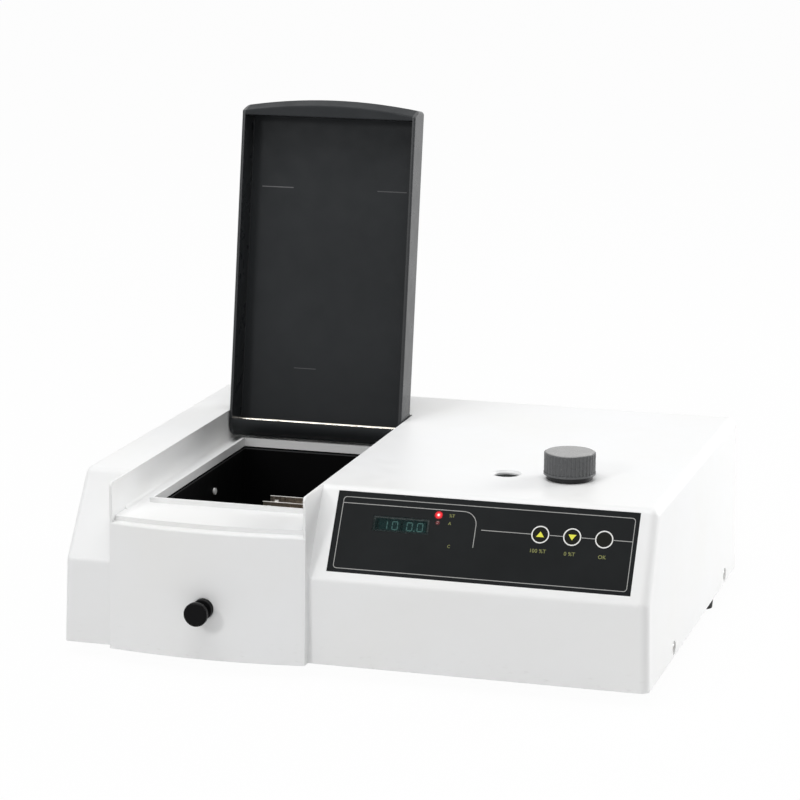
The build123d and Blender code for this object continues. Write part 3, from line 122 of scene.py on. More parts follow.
class Finish:
    """A material whose surface is one Principled shader, fed by procedural nodes."""

    def __init__(self, name, **constants):
        self.material = bpy.data.materials.new(name)
        self.material.use_nodes = True
        self.tree = self.material.node_tree
        self.tree.nodes.clear()
        self.shader = self.tree.nodes.new("ShaderNodeBsdfPrincipled")
        output = self.tree.nodes.new("ShaderNodeOutputMaterial")
        self.tree.links.new(self.shader.outputs[0], output.inputs["Surface"])
        for name, value in constants.items():
            socket = name.replace("_", " ").title().replace("Ior", "IOR")
            self.shader.inputs[socket].default_value = value
        self.place = self.node("ShaderNodeTexCoord", {}, {}, "Object")
        self.x, self.y, self.z = (
            self.node("ShaderNodeSeparateXYZ", {}, {"Vector": self.place}, axis) for axis in "XYZ"
        )

    def node(self, kind, settings, values, output=0):
        """Adds a node, makes its settings, then fills or links its sockets."""
        made = self.tree.nodes.new(kind)
        for setting, value in settings.items():
            if setting == "stops":
                for stop, (place, colour) in zip(made.color_ramp.elements, value):
                    stop.position = place
                    stop.color = (*colour, 1)
            else:
                setattr(made, setting, value)
        for socket, value in values.items():
            if isinstance(value, Signal):
                self.tree.links.new(value.socket, made.inputs[socket])
            else:
                made.inputs[socket].default_value = value
        return Signal(self, made.outputs[output])

    def noise(self, size, detail=2.0, stretch=(1, 1, 1)):
        """Cloudy noise from 0 to 1, whose blobs have a size in millimetres."""
        place = self.node("ShaderNodeVectorMath", {"operation": "MULTIPLY"}, {0: self.place, 1: stretch})
        values = {"Vector": place, "Scale": 1000 / size, "Detail": detail}
        return self.node("ShaderNodeTexNoise", {}, values)

    def patches(self, size, least=0.0, most=1.0):
        """Soft patches of a size in millimetres that go from one value to another."""
        return self.noise(size, 3.0).spread(0.3, 0.7, least, most)

    def bands(self, direction, scale, distortion, detail=None):
        """Waves from 0 to 1 across one axis."""
        settings = {"wave_type": "BANDS", "bands_direction": direction}
        values = {"Vector": self.place, "Scale": scale, "Distortion": distortion}
        if detail is not None:
            values["Detail"] = detail
        return self.node("ShaderNodeTexWave", settings, values, "Fac")

    def blend(self, amount, first, second):
        """Mixes two colours."""
        values = {0: amount, 6: self.rgba(first), 7: self.rgba(second)}
        return self.node("ShaderNodeMix", {"data_type": "RGBA"}, values, 2)

    def rgba(self, colour):
        return colour if isinstance(colour, Signal) else (*tuple(colour)[:3], 1)

    def fed(self, socket):
        """What a socket of the surface is linked to."""
        return Signal(self, self.shader.inputs[socket].links[0].from_socket)

    def feed(self, socket, value):
        """Sets or links one socket of the surface."""
        target = self.shader.inputs[socket]
        if isinstance(value, Signal):
            self.tree.links.new(value.socket, target)
        else:
            target.default_value = value

    def relief(self, height, depth, soften=0.0):
        """Raises the surface by a height signal times a depth in millimetres, over softened edges."""
        values = {"Height": height, "Distance": depth * MM, "Strength": 1.0}
        if soften:
            values["Normal"] = self.node("ShaderNodeBevel", {"samples": 4}, {"Radius": soften * MM})
        self.feed("Normal", self.node("ShaderNodeBump", {}, values))


def moulded(name, colour, roughness, grain=0.5, depth=0.01, mottle=0.05, soften=0.0, **constants):
    """Moulded plastic or rubber: a fine grain, faint clouds in its colour, and slightly uneven gloss."""
    finish = Finish(name, **constants)
    deep = [part * (1 - mottle) for part in colour[:3]]
    light = [min(1.0, part * (1 + mottle)) for part in colour[:3]]
    finish.feed("Base Color", finish.blend(finish.patches(60), deep, light))
    finish.feed("Roughness", finish.patches(9, roughness - 0.05, roughness + 0.05))
    finish.relief(finish.noise(grain), depth, soften)
    return finish


def bare_metal(name, colour, roughness, stretch=(1, 1, 1), depth=0.004, soften=0.0):
    """Bare metal with fine tool marks drawn out along one direction."""
    finish = Finish(name, metallic=1.0)
    marks = finish.noise(0.6, 3.0, stretch)
    smudges = finish.noise(18, 3.0)
    dull = [part * 0.8 for part in colour]
    finish.feed("Base Color", finish.blend(marks.spread(0.35, 0.65), dull, colour))
    finish.feed("Roughness", (smudges + marks).spread(0.7, 1.3, roughness - 0.06, roughness + 0.08))
    finish.relief(marks, depth, soften)
    return finish


def clouded(name, size, first, second, waves, depth, **constants):
    """A clear or polished surface with faint clouds in its colour, and slightly wavy."""
    finish = Finish(name, **constants)
    finish.feed("Base Color", finish.blend(finish.noise(size), first, second))
    finish.relief(finish.noise(waves, 1.0), depth)
    return finish


def dress(finish, *nodes):
    """Gives a finish to CAD nodes."""
    for node in nodes:
        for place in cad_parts[node].material_slots:
            place.material = finish.material


def mesh_data(name, mesh):
    """Turns a bmesh into mesh data, and frees it."""
    data = bpy.data.meshes.new(name)
    mesh.to_mesh(data)
    mesh.free()
    return data


def placed(name, data):
    """Puts data into the scene as an object."""
    made = bpy.data.objects.new(name, data)
    bpy.context.scene.collection.objects.link(made)
    return made


def piece(name, mesh, finish, body):
    """Makes a finished object from a bmesh and lets it ride on a body."""
    made = placed(name, mesh_data(name, mesh))
    made.data.materials.append(finish.material)
    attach(made, body)
    return made


def join(target, source, matrix=Matrix.Identity(4)):
    """Adds one bmesh to another through a placing matrix, and frees it."""
    bmesh.ops.transform(source, matrix=matrix, verts=source.verts)
    data = mesh_data("part", source)
    target.from_mesh(data)
    bpy.data.meshes.remove(data)


def thicken(flat, thickness):
    """Turns flat printing into a thin closed layer that stands on its face."""
    grown = bmesh.ops.extrude_face_region(flat, geom=flat.faces[:])["geom"]
    corners = [item for item in grown if isinstance(item, bmesh.types.BMVert)]
    bmesh.ops.translate(flat, verts=corners, vec=(0, 0, thickness))
    bmesh.ops.recalc_face_normals(flat, faces=flat.faces)


def shift(flat, middle):
    """Moves a flat drawing."""
    bmesh.ops.translate(flat, vec=(*middle, 0), verts=flat.verts)
    return flat


def swing(flat, angle):
    """Turns a flat drawing about its origin."""
    bmesh.ops.rotate(flat, verts=flat.verts, matrix=Matrix.Rotation(angle, 3, "Z"))
    return flat


def plate(width, height, round_off, middle=(0, 0), segments=6):
    """A flat plate with rounded corners."""
    flat = bmesh.new()
    bmesh.ops.create_grid(flat, x_segments=1, y_segments=1, size=0.5)
    bmesh.ops.scale(flat, vec=(width, height, 1), verts=flat.verts)
    if round_off:
        bmesh.ops.bevel(
            flat, geom=flat.verts[:], offset=round_off, segments=segments, profile=0.5,
            affect="VERTICES", material=-1,
        )
    return shift(flat, middle)


def outlined(flat, width):
    """Keeps only a line of a width along a flat plate's edge."""
    bmesh.ops.inset_region(
        flat, faces=flat.faces[:], thickness=width, use_even_offset=True, use_boundary=True
    )
    inner = max(flat.faces, key=lambda face: len(face.verts))
    bmesh.ops.delete(flat, geom=[inner], context="FACES")
    return flat


def ring(radius, width, middle=(0, 0)):
    """A flat ring."""
    flat = bmesh.new()
    bmesh.ops.create_circle(flat, cap_ends=True, radius=radius, segments=72)
    return outlined(shift(flat, middle), width)


def triangle(radius, turn, middle):
    """A flat triangle with one corner up, turned by an angle."""
    flat = bmesh.new()
    bmesh.ops.create_circle(flat, cap_ends=True, radius=radius, segments=3)
    return shift(swing(flat, turn), middle)


class Pen:
    """Draws a flat line of a width with straight runs and turns."""

    def __init__(self, start, heading, width):
        self.flat = bmesh.new()
        self.here = Vector((*start, 0))
        self.heading = Vector((*heading, 0)).normalized()
        across = Vector((-self.heading.y, self.heading.x, 0)) * width / 2
        ends = [self.flat.verts.new(self.here + across), self.flat.verts.new(self.here - across)]
        self.edge = self.flat.edges.new(ends)

    def run(self, length):
        """Draws on straight ahead."""
        grown = bmesh.ops.extrude_edge_only(self.flat, edges=[self.edge])["geom"]
        step = self.heading * length
        ends = [item for item in grown if isinstance(item, bmesh.types.BMVert)]
        bmesh.ops.translate(self.flat, verts=ends, vec=step)
        self.here += step

        def distance(edge):
            return ((edge.verts[0].co + edge.verts[1].co) / 2 - self.here).length

        self.edge = min((item for item in grown if isinstance(item, bmesh.types.BMEdge)), key=distance)
        return self

    def turn(self, radius, angle):
        """Draws on round an arc, to the left for an angle above 0."""
        side = math.copysign(1, angle)
        centre = self.here + Vector((-self.heading.y, self.heading.x, 0)) * radius * side
        spun = bmesh.ops.spin(
            self.flat, geom=[*self.edge.verts, self.edge], cent=centre, axis=(0, 0, 1), angle=angle,
            steps=14,
        )
        swing = Matrix.Rotation(angle, 3, "Z")
        self.here = centre + swing @ (self.here - centre)
        self.heading = swing @ self.heading
        self.edge = next(item for item in spun["geom_last"] if isinstance(item, bmesh.types.BMEdge))
        return self


def evaluated_mesh(holder):
    """The mesh that an object comes to, with its modifiers or its text worked out."""
    bpy.context.view_layer.update()
    depsgraph = bpy.context.evaluated_depsgraph_get()
    return bpy.data.meshes.new_from_object(holder.evaluated_get(depsgraph))


def lettering(text, size, middle, turn=0.0):
    """Flat letters of a height in millimetres, centred on a place."""
    curve = bpy.data.curves.new("letters", "FONT")
    curve.body = text
    curve.size = size * 1.35
    curve.resolution_u = 3
    curve.align_x = "CENTER"
    curve.align_y = "CENTER"
    holder = placed("letters", curve)
    data = evaluated_mesh(holder)
    bpy.data.objects.remove(holder)
    bpy.data.curves.remove(curve)
    flat = bmesh.new()
    flat.from_mesh(data)
    bpy.data.meshes.remove(data)
    bmesh.ops.remove_doubles(flat, verts=flat.verts, dist=1e-5)
    return shift(swing(flat, turn), middle)


def printed(name, flats, place, finish, body, thickness=0.03):
    """Joins flat drawings in millimetres into one thin printed layer at a place."""
    whole = bmesh.new()
    for flat in flats:
        thicken(flat, thickness)
        join(whole, flat)
    bmesh.ops.transform(whole, matrix=place, verts=whole.verts)
    return piece(name, whole, finish, body)


def colour_setting(name, about, value):
    return FloatVectorProperty(name=name, description=about, subtype="COLOR", default=value)


def share_setting(name, about, value):
    return FloatProperty(name=name, description=about, default=value, min=0, max=1, subtype="FACTOR")


def size_setting(name, about, value):
    return FloatProperty(name=name, description=f"{about}, in millimetres", default=value)


def power_setting(name, about, value):
    about = f"Power of the softbox {about}"
    return FloatProperty(name=name, description=about, default=value, unit="POWER")


class CasingFinish(bpy.types.PropertyGroup):
    """Colours and grain of the casing, the lid and the knob."""

    cover_colour: colour_setting("Cover colour", "White of the moulded cover", (0.87, 0.875, 0.88))
    cover_roughness: share_setting("Cover roughness", "How matt the cover is", 0.42)
    cover_edge: size_setting("Cover edge", "Softening of the cover's sharp edges", 0.45)
    lid_colour: colour_setting("Lid colour", "Charcoal of the sample lid", (0.0235, 0.0255, 0.0275))
    lid_roughness: share_setting("Lid roughness", "How matt the lid is", 0.5)
    knob_colour: colour_setting("Knob colour", "Grey of the wavelength knob", (0.092, 0.095, 0.098))
    # Painted highlight: the knob's top is painted paler than its sides, standing in for light from above
    knob_top_colour: colour_setting(
        "Knob top colour", "Paler smooth top of the wavelength knob", (0.265, 0.265, 0.262)
    )


class PanelPrint(bpy.types.PropertyGroup):
    """Printing on the control panel."""

    film_colour: colour_setting("Film colour", "Dark ground of the panel", (0.012, 0.0133, 0.014))
    line_colour: colour_setting("Line colour", "Border, arch and key line", (0.36, 0.36, 0.35))
    ring_colour: colour_setting("Ring colour", "Rings round the keys", (0.8, 0.8, 0.78))
    label_colour: colour_setting("Label colour", "Small lettering", (0.24, 0.25, 0.07))
    symbol_colour: colour_setting("Symbol colour", "Triangles on the keys", (0.78, 0.77, 0.05))
    display_colour: colour_setting("Display colour", "Panes of the display", (0.03, 0.1, 0.1))
    line_width: size_setting("Line width", "Printed lines", 0.5)
    ring_width: size_setting("Ring width", "Rings round the keys", 0.85)
    reading: StringProperty(name="Reading", description="What the display shows", default="100.0")


class DialPrint(bpy.types.PropertyGroup):
    """Scale of the wavelength dial, in nanometres."""

    lowest: IntProperty(name="Lowest", description="First number on the scale", default=340)
    highest: IntProperty(name="Highest", description="Last number on the scale", default=980)
    resting: IntProperty(name="Resting", description="Value under the line at rest", default=660)
    number_step: IntProperty(name="Number step", description="From number to number", default=20)
    line_step: IntProperty(name="Line step", description="From line to line", default=4)
    turn_per_value: FloatProperty(
        name="Turn per value", description="Degrees of the dial for each nanometre", default=4 / 11
    )
    number_height: size_setting("Number height", "Height of the numbers", 2.7)


class StudioLight(bpy.types.PropertyGroup):
    """Light levels of the stage."""

    fill: FloatProperty(name="Fill", description="Strength of the fill light", default=0.36, min=0)
    front: power_setting("Front", "at the front left", 11.2)
    overhead: power_setting("Overhead", "above", 24.5)
    side: power_setting("Side", "at the back right", 33.5)
    floor_white: share_setting("Floor white", "How far the floor shows as plain white", 0.97)


class Step:
    """One step of the finishing, run as an operator."""

    def execute(self, context):
        self.work(context.scene)
        return {"FINISHED"}


class SPECTRO_OT_stage(Step, bpy.types.Operator):
    """Sets the camera, the floor and the lights"""

    bl_idname = "spectro.stage"
    bl_label = "Stage"

    lens = 132.72
    eye = (0.59095, -2.05698, 0.63675)
    right = Vector((0.95975757, 0.2807965, 0.00432932))
    up = Vector((-0.06397103, 0.20358906, 0.97696428))
    lit_point = Vector((0, 0, 0.1))
    seen_rays = ("Is Camera Ray", "Is Glossy Ray", "Is Transmission Ray")

    def set_camera(self, scene):
        camera = placed("camera", bpy.data.cameras.new("camera"))
        camera.data.lens = self.lens
        camera.data.clip_end = 50
        turned = Matrix((self.right, self.up, self.right.cross(self.up))).transposed().to_4x4()
        camera.matrix_world = Matrix.Translation(self.eye) @ turned
        scene.camera = camera
        scene.view_settings.view_transform = "Standard"

    def lay_floor(self, scene):
        """A wide sheet that takes light as paper but shows nearly as plain white."""
        sheet = bmesh.new()
        bmesh.ops.create_grid(sheet, x_segments=1, y_segments=1, size=15)
        floor = placed("floor", mesh_data("floor", sheet))
        paper = Finish("floor_paper", roughness=0.9)
        paper.feed("Base Color", paper.blend(paper.noise(400), (0.8, 0.8, 0.8), (0.82, 0.82, 0.82)))
        glow = paper.node("ShaderNodeEmission", {}, {"Color": (1, 1, 1, 1), "Strength": 1.0})
        rays = [paper.node("ShaderNodeLightPath", {}, {}, kind) for kind in self.seen_rays]
        shown = (rays[0] + rays[1] + rays[2]).limit() * scene.spectro_light.floor_white
        surface = Signal(paper, paper.shader.outputs[0])
        mixed = paper.node("ShaderNodeMixShader", {}, {0: shown, 1: surface, 2: glow})
        output = next(node for node in paper.tree.nodes if node.type == "OUTPUT_MATERIAL")
        paper.tree.links.new(mixed.socket, output.inputs["Surface"])
        floor.data.materials.append(paper.material)

    def light_world(self, scene):
        """White all round where it is seen or mirrored, and a weaker fill for everything else."""
        world = bpy.data.worlds.new("studio")
        world.use_nodes = True
        scene.world = world
        tree = world.node_tree
        rays = tree.nodes.new("ShaderNodeLightPath")
        seen = rays.outputs[self.seen_rays[0]]
        for kind in self.seen_rays[1:]:
            either = tree.nodes.new("ShaderNodeMath")
            either.operation = "MAXIMUM"
            tree.links.new(seen, either.inputs[0])
            tree.links.new(rays.outputs[kind], either.inputs[1])
            seen = either.outputs[0]
        strength = tree.nodes.new("ShaderNodeMapRange")
        tree.links.new(seen, strength.inputs["Value"])
        strength.inputs["To Min"].default_value = scene.spectro_light.fill
        strength.inputs["To Max"].default_value = 1.0
        background = next(node for node in tree.nodes if node.type == "BACKGROUND")
        background.inputs["Color"].default_value = (1, 1, 1, 1)
        tree.links.new(strength.outputs[0], background.inputs["Strength"])

    def hang_softboxes(self, scene):
        light = scene.spectro_light
        for name, power, size, place in (
            ("overhead_softbox", light.overhead, 1.6, (-0.1, -0.37, 2.0)),
            ("side_softbox", light.side, 1.2, (1.8, 1.5, 0.8)),
            ("front_softbox", light.front, 0.4, (-0.95, -2.3, 1.2)),
        ):
            lamp = bpy.data.lights.new(name, "AREA")
            lamp.size = size
            lamp.energy = power
            aim = (self.lit_point - Vector(place)).to_track_quat("-Z", "Y")
            turned = Matrix.Translation(place) @ aim.to_matrix().to_4x4()
            placed(name, lamp).matrix_world = turned

    def work(self, scene):
        self.set_camera(scene)
        self.lay_floor(scene)
        self.light_world(scene)
        self.hang_softboxes(scene)


class SPECTRO_OT_cover(Step, bpy.types.Operator):
    """Finishes the white cover"""

    bl_idname = "spectro.cover"
    bl_label = "Cover"

    def work(self, scene):
        casing = scene.spectro_casing
        finish = Finish("cover_plastic", specular_ior_level=0.5)
        white = tuple(casing.cover_colour)
        warm = (white[0] * 0.985, white[1] * 0.98, white[2] * 0.965)
        plastic = finish.blend(finish.patches(90), white, warm)
        scuffs = finish.noise(2.2, 4.0, (0.3, 1, 1)).spread(0.62, 0.75)
        low_edge = finish.z.spread(0.03, 0.012)
        soiled = finish.blend(scuffs * low_edge * 0.25, plastic, (0.55, 0.54, 0.52))
        finish.feed("Base Color", soiled)
        level = casing.cover_roughness
        finish.feed("Roughness", finish.patches(12, level - 0.05, level + 0.05))
        finish.relief(finish.noise(0.7), 0.008, casing.cover_edge)
        dress(finish, "top_cover")


class SPECTRO_OT_lid(Step, bpy.types.Operator):
    """Finishes the lid, its hinge rod and its buffers"""

    bl_idname = "spectro.lid"
    bl_label = "Lid"

    # The lid as it stands open: its middle in casing millimetres, the rest in radians and metres
    middle = 111.85
    lean = math.radians(8.8)
    side_start = 0.068
    inner_face_end = 0.0873
    upper_line = 0.304
    lower_line = 0.1636

    def mould_lines(self, finish):
        """Two short mould lines near the top of the inner face and one near its bottom. Their pale
        colour is a painted highlight, their bump is real.
        """
        upper_left = finish.x.near(at(66, 0, 0).x, 0.013)
        upper_right = finish.x.near(at(160, 0, 0).x, 0.012) * 0.6
        lower_middle = finish.x.near(at(95, 0, 0).x, 0.009) * 0.6
        upper = finish.z.near(self.upper_line, 0.0004) * (upper_left + upper_right)
        lower = finish.z.near(self.lower_line, 0.0003) * lower_middle
        through = finish.y * math.cos(self.lean) - finish.z * math.sin(self.lean)
        return (upper + lower) * (1 - (through > self.inner_face_end))

    def work(self, scene):
        casing = scene.spectro_casing
        finish = Finish("lid_plastic", specular_ior_level=0.12, coat_roughness=0.3)
        dark = tuple(part * 0.92 for part in casing.lid_colour)
        light = tuple(part * 1.08 for part in casing.lid_colour)
        plastic = finish.blend(finish.patches(70), dark, light)
        lines = self.mould_lines(finish)
        # Painted highlight: the mould lines are painted pale, standing in for light caught along their
        # ridges
        finish.feed("Base Color", finish.blend(lines * 0.8, plastic, (0.16, 0.16, 0.165)))
        level = casing.lid_roughness
        sides = abs(finish.x - at(self.middle, 0, 0).x) > self.side_start
        finish.feed("Roughness", finish.patches(14, level - 0.06, level + 0.06) - sides * 0.2)
        finish.feed("Coat Weight", sides * 0.4)
        finish.relief(finish.noise(0.55) + lines * 2.0, 0.012, 1.2)
        dress(finish, "lid")
        dress(bare_metal("rod_steel", (0.5, 0.47, 0.42), 0.22, (0.05, 1, 1)), "hinge_rod")
        rubber = moulded(
            "buffer_rubber", (0.015, 0.015, 0.016), 0.75, grain=0.8, depth=0.03, specular_ior_level=0.3
        )
        dress(rubber, "lid_buffers")


class SPECTRO_OT_chamber(Step, bpy.types.Operator):
    """Finishes the sample chamber, the cell carriage and the guide rods"""

    bl_idname = "spectro.chamber"
    bl_label = "Sample chamber and carriage"

    chamber_top = 91.6
    divider_top = 69.7

    def work(self, scene):
        paint = moulded(
            "chamber_paint", (0.002, 0.002, 0.0022), 0.62, grain=0.9, depth=0.02, specular_ior_level=0.06
        )
        # Painted highlight: a paler band along the chamber's top edge, standing in for light caught by
        # its rim
        painted_rim_highlight = paint.z.near(at(0, 0, self.chamber_top).z, 0.0005)
        paint.feed("Base Color", paint.blend(painted_rim_highlight, paint.fed("Base Color"), (0.06, 0.06, 0.062)))
        dress(paint, "sample_chamber")
        anodised = moulded(
            "carriage_anodised", (0.008, 0.008, 0.009), 0.4, grain=0.3, depth=0.006, soften=0.3,
            specular_ior_level=0.25,
        )
        dress(anodised, "carriage_block")
        for name, colour, node in (
            ("divider_steel", (0.66, 0.57, 0.48), "cell_dividers"),
            ("spring_steel", (0.72, 0.7, 0.64), "cell_springs"),
        ):
            steel = bare_metal(name, colour, 0.3, (1, 1, 0.06), soften=0.2)
            # Painted highlight: above the dividers' top height the steel is painted pale and less
            # metallic, standing in for light on their top edges
            edge = steel.z > at(0, 0, self.divider_top).z
            steel.feed("Base Color", steel.blend(edge, steel.fed("Base Color"), (0.93, 0.91, 0.87)))
            steel.feed("Metallic", 1 - edge * 0.8)
            dress(steel, node)
        dress(bare_metal("guide_steel", (0.74, 0.74, 0.73), 0.18, (1, 0.05, 1)), "guide_rods")
        # Painted highlight: the chamber screws are plain pale white, standing in for the glint on their
        # heads
        bright = moulded(
            "screw_painted_glint", (0.95, 0.95, 0.93), 0.3, grain=0.6, depth=0.004, mottle=0.03, soften=0.3
        )
        dress(bright, "chamber_screws")
        glass = clouded(
            "window_glass", 20, (0.05, 0.06, 0.06), (0.08, 0.09, 0.09), 8, 0.002,
            roughness=0.05, alpha=0.22, ior=1.5,
        )
        dress(glass, "chamber_windows", "dial_window")


class SPECTRO_OT_panel(Step, bpy.types.Operator):
    """Finishes the control panel, prints its lines and labels and lights its display"""

    bl_idname = "spectro.panel"
    bl_label = "Control panel"

    # Which bars each figure lights: a, b, c, d, e and f go round from its top, and g is the middle one
    segments = {
        "0": "abcdef", "1": "bc", "2": "abdeg", "3": "abcdg", "4": "bcfg",
        "5": "acdfg", "6": "acdefg", "7": "abc", "8": "abcdefg", "9": "abcdfg",
    }

    # Sizes and places on the panel in millimetres, and heights over its film
    key_line_start = (304.6, 45.1)
    key_line_end = 412.2
    words = (
        ("100 %T", 2.9, (346.6, 33.2)), ("0 %T", 2.9, (369.2, 32.8)), ("OK", 2.9, (392.2, 32.4)),
        ("%T", 2.4, (282.5, 53.6)), ("A", 2.4, (281.5, 48.0)), ("C", 2.4, (283.2, 31.4)),
    )
    pane_lift = -3.3
    figure_lefts = (231.9, 239.5, 250.2, 257.8)
    figure_row = 41.4
    figure_size = (3.8, 5.8)
    figure_stroke = 0.7
    figure_lift = -3.24
    point_gap = 5.6
    lamp_column = 272.8
    lamp_on_row = 53.6
    lamp_off_row = 48.0
    lamp_radius = 1.45

    def print_lines(self, panel, ink):
        """A border, an arch over the display, and one line that runs past the keys."""
        width = panel.line_width
        border = outlined(plate(210.5, 53.0, 2.6, (307.25, 35.8)), width)
        arch = Pen((202, 57.6), (1, 0), width).run(88.9).turn(9.6, -math.pi / 2).run(16.0)
        flats = [border, arch.flat]
        start, row = self.key_line_start
        for middle in KEYS.values():
            flats.append(Pen((start, row), (1, 0), width).run(middle - KEY_GAP - start).flat)
            start, row = middle + KEY_GAP, KEY_ROW
        flats.append(Pen((start, row), (1, 0), width).run(self.key_line_end - start).flat)
        printed("panel_lines", flats, panel_place(PANEL_TOP), ink, "casing")

    def digit(self, lit, left):
        """The lit bars of one figure of the display."""
        wide, tall = self.figure_size
        stroke = self.figure_stroke
        low, right, centre = self.figure_row, left + wide, left + wide / 2
        middle, high = low + tall / 2, low + tall
        places = {
            "a": (centre, high, 1), "g": (centre, middle, 1), "d": (centre, low, 1),
            "f": (left, (middle + high) / 2, 0), "b": (right, (middle + high) / 2, 0),
            "e": (left, (low + middle) / 2, 0), "c": (right, (low + middle) / 2, 0),
        }
        bars = []
        for name in lit:
            x, y, level = places[name]
            long = (wide if level else tall / 2) - stroke * 0.35
            size = (long, stroke) if level else (stroke, long)
            bars.append(plate(*size, stroke * 0.48, (x, y), 1))
        return bars

    def light_display(self, panel):
        """A dark window, two glowing panes behind it and the reading in lit bars."""
        tint = clouded(
            "display_tint", 14, (0.004, 0.012, 0.012), (0.008, 0.02, 0.02), 10, 0.003,
            roughness=0.08, alpha=0.7, specular_ior_level=0.1,
        )
        dress(tint, "display_window")
        black = moulded("display_black", (0.006, 0.009, 0.009), 0.4, depth=0.003, specular_ior_level=0.2)
        dress(black, "display_module")

        glass = Finish("display_pane", roughness=0.5, emission_strength=1.3)
        glowing = glass.noise(6).spread(0.3, 0.7)
        shade = tuple(panel.display_colour)
        for socket, least in (("Base Color", 0.7), ("Emission Color", 0.6)):
            glass.feed(socket, glass.blend(glowing, tuple(part * least for part in shade), shade))
        panes = [plate(15.5, 7.6, 0.6, (237.4, 44.3)), plate(16.5, 7.6, 0.6, (255.6, 44.3))]
        place = panel_place(self.pane_lift)
        printed("display_panes", panes, place, glass, "casing", 0.05)

        lit = Finish("display_figures", roughness=0.4, emission_strength=2.2)
        flicker = lit.noise(3, 1.0)
        lit.feed("Base Color", lit.blend(flicker, (0.25, 0.5, 0.48), (0.32, 0.58, 0.55)))
        lit.feed("Emission Color", lit.blend(flicker, (0.22, 0.5, 0.46), (0.3, 0.6, 0.55)))
        figures = []
        places = iter(self.figure_lefts)
        for mark in panel.reading:
            if mark == ".":
                figures.append(plate(0.9, 0.9, 0.3, (left + self.point_gap, self.figure_row), 4))
                continue
            left = next(places)
            figures += self.digit(self.segments[mark], left)
        place = panel_place(self.figure_lift)
        printed("display_figures", figures, place, lit, "casing", 0.04)

    def from_lamp(self, finish, row):
        """How far a point of the surface is from a lamp's middle, in metres."""
        middle = panel_place(0) @ Vector((self.lamp_column, row, 0))
        values = {0: finish.place, 1: middle}
        return finish.node("ShaderNodeVectorMath", {"operation": "DISTANCE"}, values, "Value")

    def lamp_dome(self, row):
        """The upper part of a flattened ball, closed below."""
        lens = bmesh.new()
        bmesh.ops.create_uvsphere(lens, u_segments=32, v_segments=16, radius=self.lamp_radius)
        bmesh.ops.bisect_plane(
            lens, geom=[*lens.verts, *lens.edges, *lens.faces], plane_co=(0, 0, 0.2), plane_no=(0, 0, 1),
            clear_inner=True,
        )
        bmesh.ops.holes_fill(lens, edges=lens.edges, sides=64)
        bmesh.ops.scale(lens, vec=(1, 1, 0.35), verts=lens.verts)
        place = panel_place(PANEL_TOP - 0.07)
        bmesh.ops.transform(shift(lens, (self.lamp_column, row)), matrix=place, verts=lens.verts)
        return lens

    def light_lamps(self):
        """Two small red domes, of which the upper one is lit, with a painted glow of its red light
        printed round it on the panel.
        """
        for name, row, core, edge, strength in (
            ("lamp_on", self.lamp_on_row, (1.0, 0.55, 0.5), (0.9, 0.02, 0.03), 1.6),
            ("lamp_off", self.lamp_off_row, (0.14, 0.01, 0.012), (0.06, 0.006, 0.008), 0.3),
        ):
            glow = Finish(f"{name}_lens", roughness=0.2, emission_strength=strength)
            colour = glow.blend(self.from_lamp(glow, row).spread(0.0004, 0.0011), core, edge)
            glow.feed("Base Color", colour)
            glow.feed("Emission Color", colour)
            dome = piece(name, self.lamp_dome(row), glow, "casing")
            dome.data.shade_smooth()
        # Painted glow: red light from the lit lamp, printed on the panel round it
        painted_glow = Finish("lamp_painted_glow", roughness=0.5, emission_strength=0.9)
        red = painted_glow.blend(painted_glow.noise(2), (0.75, 0.01, 0.02), (0.9, 0.02, 0.03))
        painted_glow.feed("Base Color", red)
        painted_glow.feed("Emission Color", red)
        painted_glow.feed("Alpha", self.from_lamp(painted_glow, self.lamp_on_row).spread(0.0014, 0.0031, 0.6, 0.0))
        flat = ring(3.2, 1.7, (self.lamp_column, self.lamp_on_row))
        printed("lamp_painted_glow", [flat], panel_place(PANEL_TOP), painted_glow, "casing", 0.02)
        dress(moulded("lamp_body", (0.2, 0.015, 0.012), 0.25, depth=0.002), "status_lamps")

    def work(self, scene):
        panel = scene.spectro_panel
        film = moulded(
            "panel_film", panel.film_colour, 0.36, grain=0.35, depth=0.004, mottle=0.14, soften=0.2,
            specular_ior_level=0.07,
        )
        dress(film, "panel_overlay")
        self.print_lines(panel, moulded("line_ink", panel.line_colour, 0.5, grain=0.3, depth=0.003))
        ink = moulded("label_ink", panel.label_colour, 0.5, grain=0.3, depth=0.003)
        labels = [lettering(*word) for word in self.words]
        printed("panel_labels", labels, panel_place(PANEL_TOP), ink, "casing")
        self.light_display(panel)
        self.light_lamps()


class SPECTRO_OT_keys(Step, bpy.types.Operator):
    """Finishes the three keys and prints their rings and triangles"""

    bl_idname = "spectro.keys"
    bl_label = "Keys"

    ring_radius = 6.35
    triangle_radius = 3.3
    triangle_shift = 0.5

    def work(self, scene):
        panel = scene.spectro_panel
        cap = moulded(
            "key_cap", (0.010, 0.0105, 0.008), 0.4, grain=0.4, depth=0.005, soften=0.15,
            specular_ior_level=0.07,
        )
        white = moulded("ring_ink", panel.ring_colour, 0.45, grain=0.3, depth=0.003)
        yellow = moulded("symbol_ink", panel.symbol_colour, 0.45, grain=0.3, depth=0.003)
        place = panel_place(KEY_TOP)
        for key, x in KEYS.items():
            dress(cap, key)
            flat = ring(self.ring_radius, panel.ring_width, (x, KEY_ROW))
            printed(f"{key}_ring", [flat], place, white, key)
        about_row = Matrix.Translation((0, -KEY_ROW, 0))
        for key, turn, shift in (
            ("up_key", 0, -self.triangle_shift), ("down_key", math.pi, self.triangle_shift)
        ):
            flat = triangle(self.triangle_radius, turn, (KEYS[key], KEY_ROW + shift))
            bmesh.ops.scale(flat, vec=(1, 0.82, 1), verts=flat.verts, space=about_row)
            printed(f"{key}_symbol", [flat], place, yellow, key)


